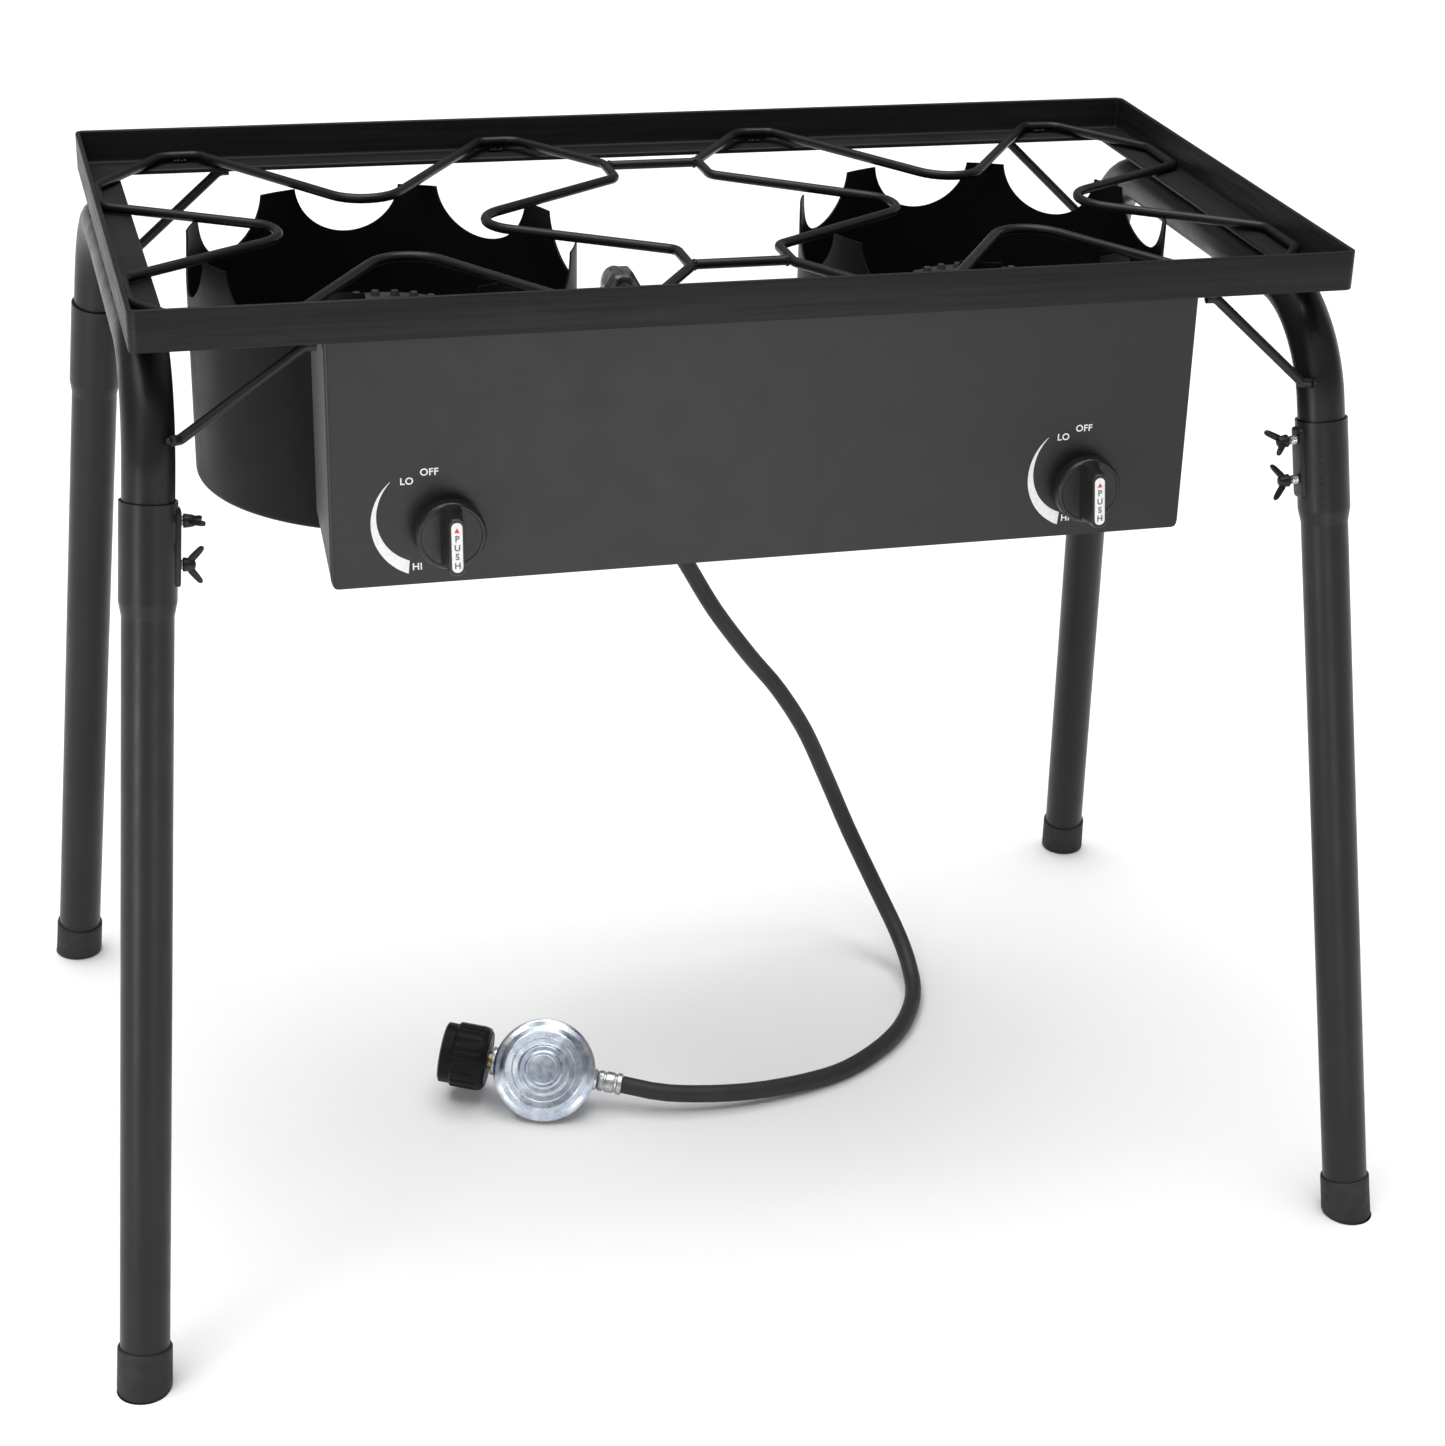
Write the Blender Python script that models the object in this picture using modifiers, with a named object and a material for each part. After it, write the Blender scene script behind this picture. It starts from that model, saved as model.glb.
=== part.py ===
"""Two-burner propane stand: an angle-iron top with two star-shaped pot rings,
wind guards with cast-iron burners, a front panel with two push-and-turn knobs,
four plug-in legs held by wing screws, and a hose with its regulator.

Axes: +X to the right of someone standing at the knobs, -Y the knob side, +Z up.
The origin is on the floor, at the middle of the four feet. Units are metres.
"""

import math

import bmesh
import bpy
from mathutils import Matrix, Vector

# ----------------------------------------------------------------------------
# Driving dimensions
# ----------------------------------------------------------------------------
FIT_GAP = 0.0003            # left between pieces that touch or are welded

FRAME_WIDTH = 0.762
FRAME_DEPTH = 0.406
FRAME_TOP = 0.678           # height of the frame's upper edge above the floor
ANGLE_SIZE = 0.0254         # both legs of the angle iron
ANGLE_WALL = 0.0032
FRAME_CORNER = 0.006

TUBE_RADIUS = 0.0155        # side tubes and lower legs
TUBE_WALL = 0.0015
TUBE_BEND = 0.074
FOOT_X = 0.4175             # a leg's centre line, where it meets the floor
FOOT_Y = 0.286
LEAN_X = 0.0766             # the legs' slopes: sideways run for each metre of height
LEAN_Y = 0.1679

SOCKET_WALL = 0.0014
SOCKET_TOP = 0.5600         # heights on the leg's centre line
SOCKET_BOTTOM = 0.502
PLATE_BOTTOM = 0.510
PLATE_TOP = 0.556
PLATE_THICKNESS = 0.0015
PLATE_WIDTH = 0.014
SCREW_HEIGHTS = (0.5225, 0.5483)
SCREW_RADIUS = 0.003
# Bare shank between the nut plate and the wing head, for the screws of each leg.
SCREW_STICKOUT = {"front_left": 0.0012, "front_right": 0.0058, "back_left": 0.0030, "back_right": 0.0040}
# How far each leg's socket sits above the heights given here.
SOCKET_LIFT = {"front_left": 0.0, "front_right": 0.0035, "back_left": 0.0, "back_right": 0.0015}
HEAD_RADIUS = 0.0044
HEAD_LENGTH = 0.008
WING_REACH = 0.0100
WING_FLARE = 0.0066
WING_WIDTH = 0.0066
WING_THICKNESS = 0.0027

CAP_RADIUS = 0.0171
CAP_HEIGHT = 0.029
CAP_SOLE = 0.0045           # rubber under the tube's end

ROD_RADIUS = 0.0032
# For each brace: the height where it meets its leg, and the X of its bend under the frame.
BRACE_SHAPE = {"front_left": (0.597, 0.281), "front_right": (0.590, 0.290),
               "back_left": (0.586, 0.287), "back_right": (0.588, 0.290)}
BRACE_TAB = 0.0065

BURNER_X = 0.2035
RING_HALF_WIDTH = 0.1705
RING_HALF_DEPTH = 0.196
RING_RISE = 0.0042          # a ring's inner side sits this much above its outer side
RING_BEND = 0.026           # the rod's bend at the inner points of the star
LINK_Y = 0.118

GUARD_RADIUS = 0.124
GUARD_SHIFT = -0.0018       # the guards stand a little to the left of the burners
CROWN_TURN = 2.5            # degrees that the crown of posts is turned
GUARD_WALL = 0.0012
GUARD_BOTTOM = 0.5005
GUARD_TOP = 0.6556
GUARD_EDGE = 0.004
SCALLOP_RADIUS = 0.035
SCALLOP_LOW = 0.624
DRAIN_RADIUS = 0.008
DRAIN_CIRCLE = 0.075

KNOB_Z = 0.5330             # height of the valves, mixer tubes and knobs
HEAD_TOP = 0.602            # top of the cast burner head
BURNER_RADIUS = 0.062
BURNER_THICKNESS = 0.024
MIXER_RADIUS = 0.0145
MIXER_BORE = 0.0105
MIXER_MOUTH = 0.020
MIXER_FRONT = 0.149         # from the burner's centre to the mixer tube's mouth

PANEL_WIDTH = 0.5475
PANEL_MIDDLE = 0.0022       # the panel is hung slightly to the right
PANEL_BOTTOM = 0.498
PANEL_FACE = 0.200          # distance of the panel's face in front of the frame's middle
PANEL_SHEET = 0.0012
PANEL_RETURN = 0.055        # depth of the bent side flanges

STEM_RADIUS = 0.003
STEM_HOLE = 0.0058          # hole in the panel
KNOB_SHIFT = 0.0025         # the valves and knobs sit slightly to the right of the burners
KNOB_RADIUS = 0.0216
KNOB_BACK = 0.0070          # from the panel's face to the back of the knob
KNOB_SKIRT = 0.0082
KNOB_DEPTH = 0.0258
GRIP_LENGTH = 0.0365
GRIP_WIDTH = 0.0092

MANIFOLD_RADIUS = 0.0085
MANIFOLD_Y = -0.168
MANIFOLD_DROP = 0.0225      # below the valves' centre line
INLET_X = -0.0145
INLET_Y = 0.172             # the elbow's drop
INLET_Z = 0.569
INLET_PIPE = 0.0065

HOSE_RADIUS = 0.0064
FERRULE_RADIUS = 0.0080
HOSE_ROUTE = (
    (-0.0145, 0.1720, 0.5150), (-0.0145, 0.1720, 0.4900), (-0.0080, 0.1720, 0.4510),
    (0.0050, 0.1730, 0.4140), (0.0230, 0.1735, 0.3780), (0.0450, 0.1740, 0.3400),
    (0.0685, 0.1745, 0.2990), (0.0970, 0.1755, 0.2585), (0.1215, 0.1770, 0.2270),
    (0.1450, 0.1785, 0.1885), (0.1650, 0.1790, 0.1440), (0.1840, 0.1735, 0.0980),
    (0.2020, 0.1525, 0.0555), (0.2125, 0.1190, 0.0270), (0.2130, 0.0880, 0.0125),
    (0.2050, 0.0555, 0.0068), (0.1825, 0.0160, 0.0066), (0.1515, -0.0150, 0.0066),
    (0.1140, -0.0380, 0.0068), (0.0670, -0.0510, 0.0092), (0.0240, -0.0545, 0.0120),
    (-0.0200, -0.0492, 0.0153), (-0.0507, -0.0371, 0.0194),
)
REGULATOR_FACE = Vector((-0.2446, -0.805, 0.540)).normalized()
REGULATOR_AXIS = Vector((-0.923, 0.3637, 0.1228)).normalized()
REGULATOR_OFFSET = 0.057    # from the hose's end to the regulator's centre line
REGULATOR_RADIUS = 0.037
DISC_AHEAD = 0.014          # from the gas line's axis forward to the clamped rim
FERRULE_LENGTH = 0.018
NUT_NEAR = 0.0425           # the hand nut's two ends, from the regulator's centre
NUT_FAR = 0.0770
NUT_RADIUS = 0.0238
NUT_BORE = 0.0158
NIPPLE_RADIUS = 0.0062

# ----------------------------------------------------------------------------
# Derived sizes
# ----------------------------------------------------------------------------
FLANGE_BOTTOM = FRAME_TOP - ANGLE_SIZE
FLANGE_TOP = FLANGE_BOTTOM + ANGLE_WALL
ROD_Z = FLANGE_TOP + FIT_GAP + ROD_RADIUS
SIDE_TUBE_Z = FLANGE_BOTTOM - FIT_GAP - TUBE_RADIUS
SOCKET_BORE = TUBE_RADIUS + FIT_GAP
SOCKET_RADIUS = SOCKET_BORE + SOCKET_WALL
PLATE_FACE = SOCKET_RADIUS + PLATE_THICKNESS
MANIFOLD_Z = KNOB_Z - MANIFOLD_DROP
LEG_SCALE = math.sqrt(1 + LEAN_X ** 2 + LEAN_Y ** 2)    # length along a leg for each metre of height

SIDES = {"left": -1, "right": 1}
ENDS = {"front": -1, "back": 1}


# ----------------------------------------------------------------------------
# Scene, materials and helpers
# ----------------------------------------------------------------------------
def start_collections():
    """Empty the file and return the part's collection and the cutters' one."""
    for obj in list(bpy.data.objects):
        bpy.data.objects.remove(obj, do_unlink=True)
    parts = bpy.data.collections.new("propane_burner_stand")
    cutters = bpy.data.collections.new("cutters")
    bpy.context.scene.collection.children.link(parts)
    bpy.context.scene.collection.children.link(cutters)
    return parts, cutters


PARTS, CUTTERS = start_collections()


def material(name, colour, roughness, metallic):
    """A plain Principled BSDF material."""
    made = bpy.data.materials.new(name)
    made.use_nodes = True
    shader = made.node_tree.nodes["Principled BSDF"]
    shader.inputs["Base Color"].default_value = (*colour, 1.0)
    shader.inputs["Roughness"].default_value = roughness
    shader.inputs["Metallic"].default_value = metallic
    return made


BLACK_COAT = material("black_coat", (0.022, 0.022, 0.021), 0.45, 0.1)
PANEL_COAT = material("panel_coat", (0.045, 0.044, 0.042), 0.42, 0.1)
CAST_IRON = material("cast_iron", (0.05, 0.048, 0.046), 0.7, 0.6)
BLACK_PLASTIC = material("black_plastic", (0.02, 0.02, 0.02), 0.35, 0.0)
RUBBER = material("rubber", (0.025, 0.024, 0.023), 0.75, 0.0)
ZINC = material("zinc", (0.62, 0.64, 0.67), 0.32, 1.0)
BRASS = material("brass", (0.72, 0.55, 0.28), 0.35, 1.0)


def finish(obj, name, surface, smooth=True):
    """Name the object, give it its material and put it with the parts."""
    obj.name = name
    obj.data.name = name
    obj.data.materials.clear()
    obj.data.materials.append(surface)
    for collection in list(obj.users_collection):
        collection.objects.unlink(obj)
    PARTS.objects.link(obj)
    if smooth and obj.type == "MESH":
        obj.data.shade_smooth()
        obj.data.set_sharp_from_angle(angle=math.radians(35))
    return obj


def as_cutter(obj, name):
    """Keep the object as a hidden guide for a Boolean."""
    obj.name = name
    for collection in list(obj.users_collection):
        collection.objects.unlink(obj)
    CUTTERS.objects.link(obj)
    obj.hide_render = True
    obj.display_type = "WIRE"
    return obj


def combine(obj, other, operation):
    """Add a Boolean with the other object, which becomes a hidden guide."""
    as_cutter(other, obj.name + "_" + operation.lower())
    modifier = obj.modifiers.new(operation.title(), "BOOLEAN")
    modifier.operation = operation
    modifier.solver = "EXACT"
    modifier.object = other
    return obj


def object_from_bmesh(bm, name="shape"):
    """Wrap a bmesh in an object of its own."""
    mesh = bpy.data.meshes.new(name)
    bm.to_mesh(mesh)
    bm.free()
    obj = bpy.data.objects.new(name, mesh)
    PARTS.objects.link(obj)
    return obj


def facing(axis, origin):
    """The matrix that turns local +Z to the axis, placed at the origin."""
    turn = Vector(axis).normalized().to_track_quat("Z", "Y").to_matrix().to_4x4()
    return Matrix.Translation(origin) @ turn


def box(low, high):
    """A rectangular block between two corners."""
    low, high = Vector(low), Vector(high)
    size = high - low
    bm = bmesh.new()
    place = Matrix.Translation((low + high) / 2) @ Matrix.Diagonal((*size, 1))
    bmesh.ops.create_cube(bm, size=1.0, matrix=place)
    return object_from_bmesh(bm)


def add_rod(bm, start, end, radius, sides=16):
    """Add a closed cylinder between two points to a bmesh."""
    start, end = Vector(start), Vector(end)
    bmesh.ops.create_cone(
        bm, cap_ends=True, segments=sides, radius1=radius, radius2=radius,
        depth=(end - start).length, matrix=facing(end - start, (start + end) / 2))


def rods(pairs, radius, sides=16):
    """One object of separate cylinders, all of one radius."""
    bm = bmesh.new()
    for start, end in pairs:
        add_rod(bm, start, end, radius, sides)
    return object_from_bmesh(bm)


def turned(profile, steps, place=None):
    """Turn a profile of (radius, height) points about local Z.

    The profile runs down the outer side. One that starts and ends on the axis
    is a solid; any other is closed into a ring.
    """
    mesh = bpy.data.meshes.new("turned")
    points = [(radius, 0.0, height) for radius, height in profile]
    edges = [(index, index + 1) for index in range(len(points) - 1)]
    on_axis = profile[0][0] == 0 and profile[-1][0] == 0
    if not on_axis:
        edges.append((len(points) - 1, 0))
    mesh.from_pydata(points, edges, [])
    obj = bpy.data.objects.new("turned", mesh)
    PARTS.objects.link(obj)
    screw = obj.modifiers.new("Screw", "SCREW")
    screw.axis = "Z"
    screw.steps = steps
    screw.render_steps = steps
    screw.use_merge_vertices = True
    screw.merge_threshold = 0.00001
    screw.use_smooth_shade = False
    if place is not None:
        obj.matrix_world = place
    return obj


def as_mesh(obj):
    """Replace an object by its evaluated mesh, with a curve's caps welded on."""
    bpy.context.view_layer.update()
    graph = bpy.context.evaluated_depsgraph_get()
    mesh = bpy.data.meshes.new_from_object(obj.evaluated_get(graph))
    bm = bmesh.new()
    bm.from_mesh(mesh)
    bmesh.ops.remove_doubles(bm, verts=bm.verts, dist=0.000001)
    bm.to_mesh(mesh)
    bm.free()
    solid = bpy.data.objects.new("solid", mesh)
    solid.matrix_world = obj.matrix_world
    PARTS.objects.link(solid)
    bpy.data.objects.remove(obj, do_unlink=True)
    return solid


def wire(points, radius, fineness=2, cyclic=False, capped=True):
    """A round rod, tube or wire along the points."""
    data = bpy.data.curves.new("wire", "CURVE")
    data.dimensions = "3D"
    data.bevel_depth = radius
    data.bevel_resolution = fineness
    data.use_fill_caps = capped and not cyclic
    spline = data.splines.new("POLY")
    spline.points.add(len(points) - 1)
    for slot, point in zip(spline.points, points):
        slot.co = (*point, 1.0)
    spline.use_cyclic_u = cyclic
    obj = bpy.data.objects.new("wire", data)
    PARTS.objects.link(obj)
    return obj


def plate(outline, thickness, place=None):
    """A flat piece: the outline in local X and Y, its thickness about local Z."""
    data = bpy.data.curves.new("plate", "CURVE")
    data.dimensions = "2D"
    data.fill_mode = "BOTH"
    data.extrude = thickness / 2
    spline = data.splines.new("POLY")
    spline.points.add(len(outline) - 1)
    for slot, point in zip(spline.points, outline):
        slot.co = (point[0], point[1], 0.0, 1.0)
    spline.use_cyclic_u = True
    obj = bpy.data.objects.new("plate", data)
    PARTS.objects.link(obj)
    if place is not None:
        obj.matrix_world = place
    return as_mesh(obj)


def rounded(corners, radii, steps, cyclic=False):
    """Round a polyline's corners: each corner becomes an arc of its radius."""
    corners = [Vector(corner) for corner in corners]
    count = len(corners)
    path = []
    for index, corner in enumerate(corners):
        at_end = not cyclic and index in (0, count - 1)
        if at_end or radii[index] == 0:
            path.append(corner)
            continue
        back = (corners[index - 1] - corner).normalized()
        ahead = (corners[(index + 1) % count] - corner).normalized()
        half = back.angle(ahead) / 2
        centre = corner + (back + ahead).normalized() * radii[index] / math.sin(half)
        first = corner + back * radii[index] / math.tan(half)
        last = corner + ahead * radii[index] / math.tan(half)
        spoke, other = first - centre, last - centre
        sweep = spoke.angle(other)
        for step in range(steps + 1):
            part = step / steps
            blend = (spoke * math.sin((1 - part) * sweep) + other * math.sin(part * sweep))
            path.append(centre + blend / math.sin(sweep))
    return path


def rounded_rectangle(half_x, half_y, radius, steps=5):
    """Corners of a rectangle about the origin, rounded with arcs."""
    corners = [(half_x, -half_y, 0), (half_x, half_y, 0), (-half_x, half_y, 0), (-half_x, -half_y, 0)]
    if radius == 0:
        return corners
    return rounded(corners, [radius] * 4, steps, cyclic=True)


def smooth_route(points, spacing):
    """Read a smooth curve through the points, about one reading for each spacing."""
    points = [Vector(point) for point in points]
    ends = [points[0] * 2 - points[1]] + points + [points[-1] * 2 - points[-2]]
    path = []
    for before, start, end, after in zip(ends, ends[1:], ends[2:], ends[3:]):
        readings = max(1, round((end - start).length / spacing))
        for reading in range(readings):
            t = reading / readings
            path.append(0.5 * (2 * start + (end - before) * t
                               + (2 * before - 5 * start + 4 * end - after) * t ** 2
                               + (3 * start - before - 3 * end + after) * t ** 3))
    path.append(points[-1])
    return path


# ----------------------------------------------------------------------------
# Where the legs run
# ----------------------------------------------------------------------------
def leg_point(side, end, height):
    """A point on a leg's centre line at a height above the floor."""
    return Vector((side * (FOOT_X - LEAN_X * height), end * (FOOT_Y - LEAN_Y * height), height))


def leg_up(side, end):
    """The direction up a leg's centre line."""
    return (leg_point(side, end, 1.0) - leg_point(side, end, 0.0)).normalized()


def leg_inward(side, end):
    """The direction square to a leg that points to the stand's middle in X."""
    up = leg_up(side, end)
    inward = Vector((-side, 0, 0))
    return (inward - up * inward.dot(up)).normalized()


def leg_place(side, end):
    """Local Z up the leg, local X inward, origin where the leg meets the floor."""
    up, inward = leg_up(side, end), leg_inward(side, end)
    turn = Matrix((inward, up.cross(inward), up)).transposed().to_4x4()
    return Matrix.Translation(leg_point(side, end, 0.0)) @ turn


# ----------------------------------------------------------------------------
# Frame
# ----------------------------------------------------------------------------
def prism(half_x, half_y, radius, low, high):
    """A rounded rectangle raised between two heights."""
    outline = [tuple(point)[:2] for point in rounded_rectangle(half_x, half_y, radius)]
    return plate(outline, high - low, Matrix.Translation((0, 0, (low + high) / 2)))


def top_frame():
    """The welded ring of angle iron: a wall all round and a flange inside it."""
    half_x, half_y = FRAME_WIDTH / 2, FRAME_DEPTH / 2
    frame = prism(half_x, half_y, FRAME_CORNER, FLANGE_BOTTOM, FRAME_TOP)
    frame.name = "top_frame"
    above = prism(half_x - ANGLE_WALL, half_y - ANGLE_WALL, FRAME_CORNER - ANGLE_WALL,
                  FLANGE_TOP, FRAME_TOP + ANGLE_WALL)
    combine(frame, above, "DIFFERENCE")
    through = prism(half_x - ANGLE_SIZE, half_y - ANGLE_SIZE, 0,
                    FLANGE_BOTTOM - ANGLE_WALL, FRAME_TOP)
    combine(frame, through, "DIFFERENCE")
    finish(frame, "top_frame", BLACK_COAT)


def side_tube(name, side):
    """The bent tube under a side of the frame, whose ends plug into two legs."""
    tips = [SOCKET_BOTTOM + SOCKET_LIFT[end + "_" + name] + FIT_GAP for end in ("front", "back")]
    corners = [leg_point(side, -1, tips[0]), leg_point(side, -1, SIDE_TUBE_Z),
               leg_point(side, 1, SIDE_TUBE_Z), leg_point(side, 1, tips[1])]
    path = rounded(corners, [0, TUBE_BEND, TUBE_BEND, 0], 8)
    tube = wire(path, TUBE_RADIUS, fineness=4, capped=False)
    shell = tube.modifiers.new("Wall", "SOLIDIFY")
    shell.thickness = TUBE_WALL
    shell.offset = -1
    finish(tube, "side_tube_" + name, BLACK_COAT)


def brace(name, side, end):
    """A rod from under the frame down to the side of a leg, hooked round it."""
    up = leg_up(side, end)
    outward = Vector((-side, end, 0))
    outward = (outward - up * outward.dot(up)).normalized()
    along = outward.cross(up).normalized()
    if along.x * side < 0:
        along = -along
    height, bend_x = BRACE_SHAPE[name]
    touch = leg_point(side, end, height) + outward * (TUBE_RADIUS + ROD_RADIUS + FIT_GAP)
    top_z = FLANGE_BOTTOM - FIT_GAP - ROD_RADIUS
    top_y = end * (FRAME_DEPTH / 2 - ANGLE_SIZE / 2 + ROD_RADIUS)
    corners = [(side * (bend_x - BRACE_TAB), top_y, top_z), (side * bend_x, top_y, top_z),
               touch - along * 0.005, touch + along * 0.002]
    finish(wire(rounded(corners, [0, 0.008, 0.003, 0], 3), ROD_RADIUS), "brace_" + name, BLACK_COAT)


# ----------------------------------------------------------------------------
# Pot rings
# ----------------------------------------------------------------------------
def ring_path(centre_x):
    """The star of bent rod: eight straight flats joined by four inward points."""
    half_x, half_y = RING_HALF_WIDTH, RING_HALF_DEPTH
    middle_side = -math.copysign(1, centre_x)

    def quarter(way):
        """Corners from a side's inward point round to the front or back point."""
        low, high = (0.0855, 0.122) if way == middle_side else (0.0795, 0.128)
        return [((way * 0.0453, 0.0), RING_BEND), ((way * half_x, low), 0.010), ((way * half_x, high), 0.014),
                ((way * 0.122, half_y), 0.014), ((way * 0.0975, half_y), 0.008)]

    inner_y = ((0.0, 0.0445), RING_BEND)
    corners = quarter(1) + [inner_y]
    corners += reversed(quarter(-1))
    corners += [((x, -y), r) for (x, y), r in quarter(-1)[1:]]
    corners += [((inner_y[0][0], -inner_y[0][1]), inner_y[1])]
    corners += [((x, -y), r) for (x, y), r in reversed(quarter(1)[1:])]
    points = [(centre_x + x, y, ROD_Z + RING_RISE * (1 + middle_side * x / half_x) / 2)
              for (x, y), _ in corners]
    return rounded(points, [r for _, r in corners], 3, cyclic=True)


def pot_ring(name, side):
    """One star ring, which lies on the frame's flange."""
    ring = wire(ring_path(side * BURNER_X), ROD_RADIUS, cyclic=True)
    finish(ring, "pot_ring_" + name, BLACK_COAT)


def link_rod(name, end):
    """A short rod between the two star rings."""
    reach = BURNER_X - RING_HALF_WIDTH - ROD_RADIUS - FIT_GAP
    height = ROD_Z + RING_RISE
    points = [(-reach, end * LINK_Y, height), (reach, end * LINK_Y, height)]
    finish(wire(points, ROD_RADIUS), "link_rod_" + name, BLACK_COAT)


# ----------------------------------------------------------------------------
# Wind guards and burners
# ----------------------------------------------------------------------------
def arc(centre, radius, start, stop, steps):
    """Points on a circle in the plane of a profile, angles in degrees."""
    points = []
    for step in range(steps + 1):
        angle = math.radians(start + (stop - start) * step / steps)
        points.append((centre[0] + radius * math.cos(angle), centre[1] + radius * math.sin(angle)))
    return points


def wind_guard(name, side):
    """A sheet-metal bowl with a crown of eight posts that reach up to the star ring."""
    edge = (GUARD_RADIUS - GUARD_EDGE, GUARD_BOTTOM + GUARD_EDGE)
    bolt_hole = SCREW_RADIUS + FIT_GAP
    profile = [(GUARD_RADIUS, GUARD_TOP)]
    profile += arc(edge, GUARD_EDGE, 0, -90, 2)
    profile += [(bolt_hole, GUARD_BOTTOM), (bolt_hole, GUARD_BOTTOM + GUARD_WALL)]
    profile += arc(edge, GUARD_EDGE - GUARD_WALL, -90, 0, 2)
    profile += [(GUARD_RADIUS - GUARD_WALL, GUARD_TOP)]
    centre = Vector((side * BURNER_X + GUARD_SHIFT, 0, 0))
    guard = as_mesh(turned(profile, 48, Matrix.Translation(centre)))
    guard.name = "wind_guard_" + name

    bm = bmesh.new()
    for index in range(8):
        angle = math.radians(45 * index + CROWN_TURN)
        ray = Vector((math.cos(angle), math.sin(angle), 0))
        lift = Vector((0, 0, SCALLOP_LOW + SCALLOP_RADIUS))
        add_rod(bm, centre + lift + ray * (GUARD_RADIUS - 0.02), centre + lift + ray * (GUARD_RADIUS + 0.02),
                SCALLOP_RADIUS, 24)
    for index in range(6):
        angle = math.radians(30 + 60 * index)
        spot = centre + Vector((math.cos(angle), math.sin(angle), 0)) * DRAIN_CIRCLE
        add_rod(bm, spot + Vector((0, 0, GUARD_BOTTOM - 0.004)), spot + Vector((0, 0, GUARD_BOTTOM + 0.005)),
                DRAIN_RADIUS, 10)
    x = side * BURNER_X + KNOB_SHIFT
    add_rod(bm, (x, -GUARD_RADIUS - 0.01, KNOB_Z), (x, -GUARD_RADIUS + 0.02, KNOB_Z), MIXER_MOUTH + 0.002, 18)
    combine(guard, object_from_bmesh(bm), "DIFFERENCE")
    finish(guard, "wind_guard_" + name, BLACK_COAT)


def burner(name, side):
    """The cast-iron burner: a round head on a neck, with its mixer tube."""
    x = side * BURNER_X
    low = HEAD_TOP - BURNER_THICKNESS
    head = [(0, HEAD_TOP - 0.007), (0.014, HEAD_TOP - 0.007), (0.018, HEAD_TOP), (0.030, HEAD_TOP),
            (0.033, HEAD_TOP - 0.004), (0.039, HEAD_TOP - 0.004), (0.042, HEAD_TOP - 0.001),
            (0.056, HEAD_TOP - 0.001), (BURNER_RADIUS, HEAD_TOP - 0.007), (BURNER_RADIUS, low + 0.006),
            (0.055, low), (0.024, low - 0.006), (0.017, low - 0.014), (0.017, KNOB_Z - 0.012),
            (0.011, KNOB_Z - 0.017), (0.011, GUARD_BOTTOM + GUARD_WALL + FIT_GAP),
            (0, GUARD_BOTTOM + GUARD_WALL + FIT_GAP)]
    casting = as_mesh(turned(head, 24, Matrix.Translation((x, 0, 0))))
    casting.name = "burner_" + name
    deep = 0.030
    mixer = [(MIXER_MOUTH, MIXER_FRONT), (MIXER_MOUTH, MIXER_FRONT - 0.004),
             (MIXER_RADIUS, MIXER_FRONT - 0.026), (MIXER_RADIUS, 0.0), (0, 0.0),
             (0, deep), (MIXER_BORE, deep), (MIXER_BORE, MIXER_FRONT - 0.026),
             (MIXER_MOUTH - 0.003, MIXER_FRONT)]
    tube = as_mesh(turned(mixer, 16, facing((0, -1, 0), (x + KNOB_SHIFT, 0, KNOB_Z))))
    combine(casting, tube, "UNION")
    finish(casting, "burner_" + name, CAST_IRON)


def air_shutter(name, side):
    """The turning disc at the mixer tube's mouth, with four air windows."""
    x = side * BURNER_X + KNOB_SHIFT
    front = MIXER_FRONT + FIT_GAP
    profile = [(0.0215, front + 0.0012), (0.0215, front), (0.0062, front), (0.0062, front + 0.0012)]
    disc = as_mesh(turned(profile, 20, facing((0, -1, 0), (x, 0, KNOB_Z))))
    disc.name = "air_shutter_" + name
    pairs = []
    for index in range(4):
        angle = math.radians(45 + 90 * index)
        spot = Vector((x + 0.0135 * math.cos(angle), 0, KNOB_Z + 0.0135 * math.sin(angle)))
        pairs.append((spot - Vector((0, front - 0.002, 0)), spot - Vector((0, front + 0.004, 0))))
    combine(disc, rods(pairs, 0.0048, 10), "DIFFERENCE")
    finish(disc, "air_shutter_" + name, ZINC)


# ----------------------------------------------------------------------------
# Valves, knobs, manifold
# ----------------------------------------------------------------------------
def along_front(side, height=KNOB_Z):
    """Local Z runs out through the panel; its origin is on the frame's middle line."""
    return facing((0, -1, 0), (side * BURNER_X + KNOB_SHIFT, 0, height))


def valve_body(name, side):
    """The brass gas cock: nozzle behind, bonnet in front, saddle on the manifold."""
    back = PANEL_FACE - PANEL_SHEET - FIT_GAP
    bore, washer_room = STEM_RADIUS + FIT_GAP, 0.0072
    profile = [(0.0095, back), (0.0095, back - 0.010), (0.0118, back - 0.012), (0.0118, back - 0.026),
               (0.0075, back - 0.028), (0.0055, back - 0.031), (0.0055, MIXER_FRONT - 0.003),
               (0.0035, MIXER_FRONT - 0.006), (0, MIXER_FRONT - 0.006), (0, back - 0.020),
               (bore, back - 0.020), (bore, back - 0.0085), (washer_room, back - 0.0085),
               (washer_room, back)]
    body = as_mesh(turned(profile, 16, along_front(side)))
    body.name = "valve_body_" + name
    x = side * BURNER_X + KNOB_SHIFT
    top = MANIFOLD_Z + MANIFOLD_RADIUS + FIT_GAP
    combine(body, rods([((x, MANIFOLD_Y, top), (x, MANIFOLD_Y, KNOB_Z - 0.006))], 0.0075), "UNION")
    finish(body, "valve_body_" + name, BRASS)


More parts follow.
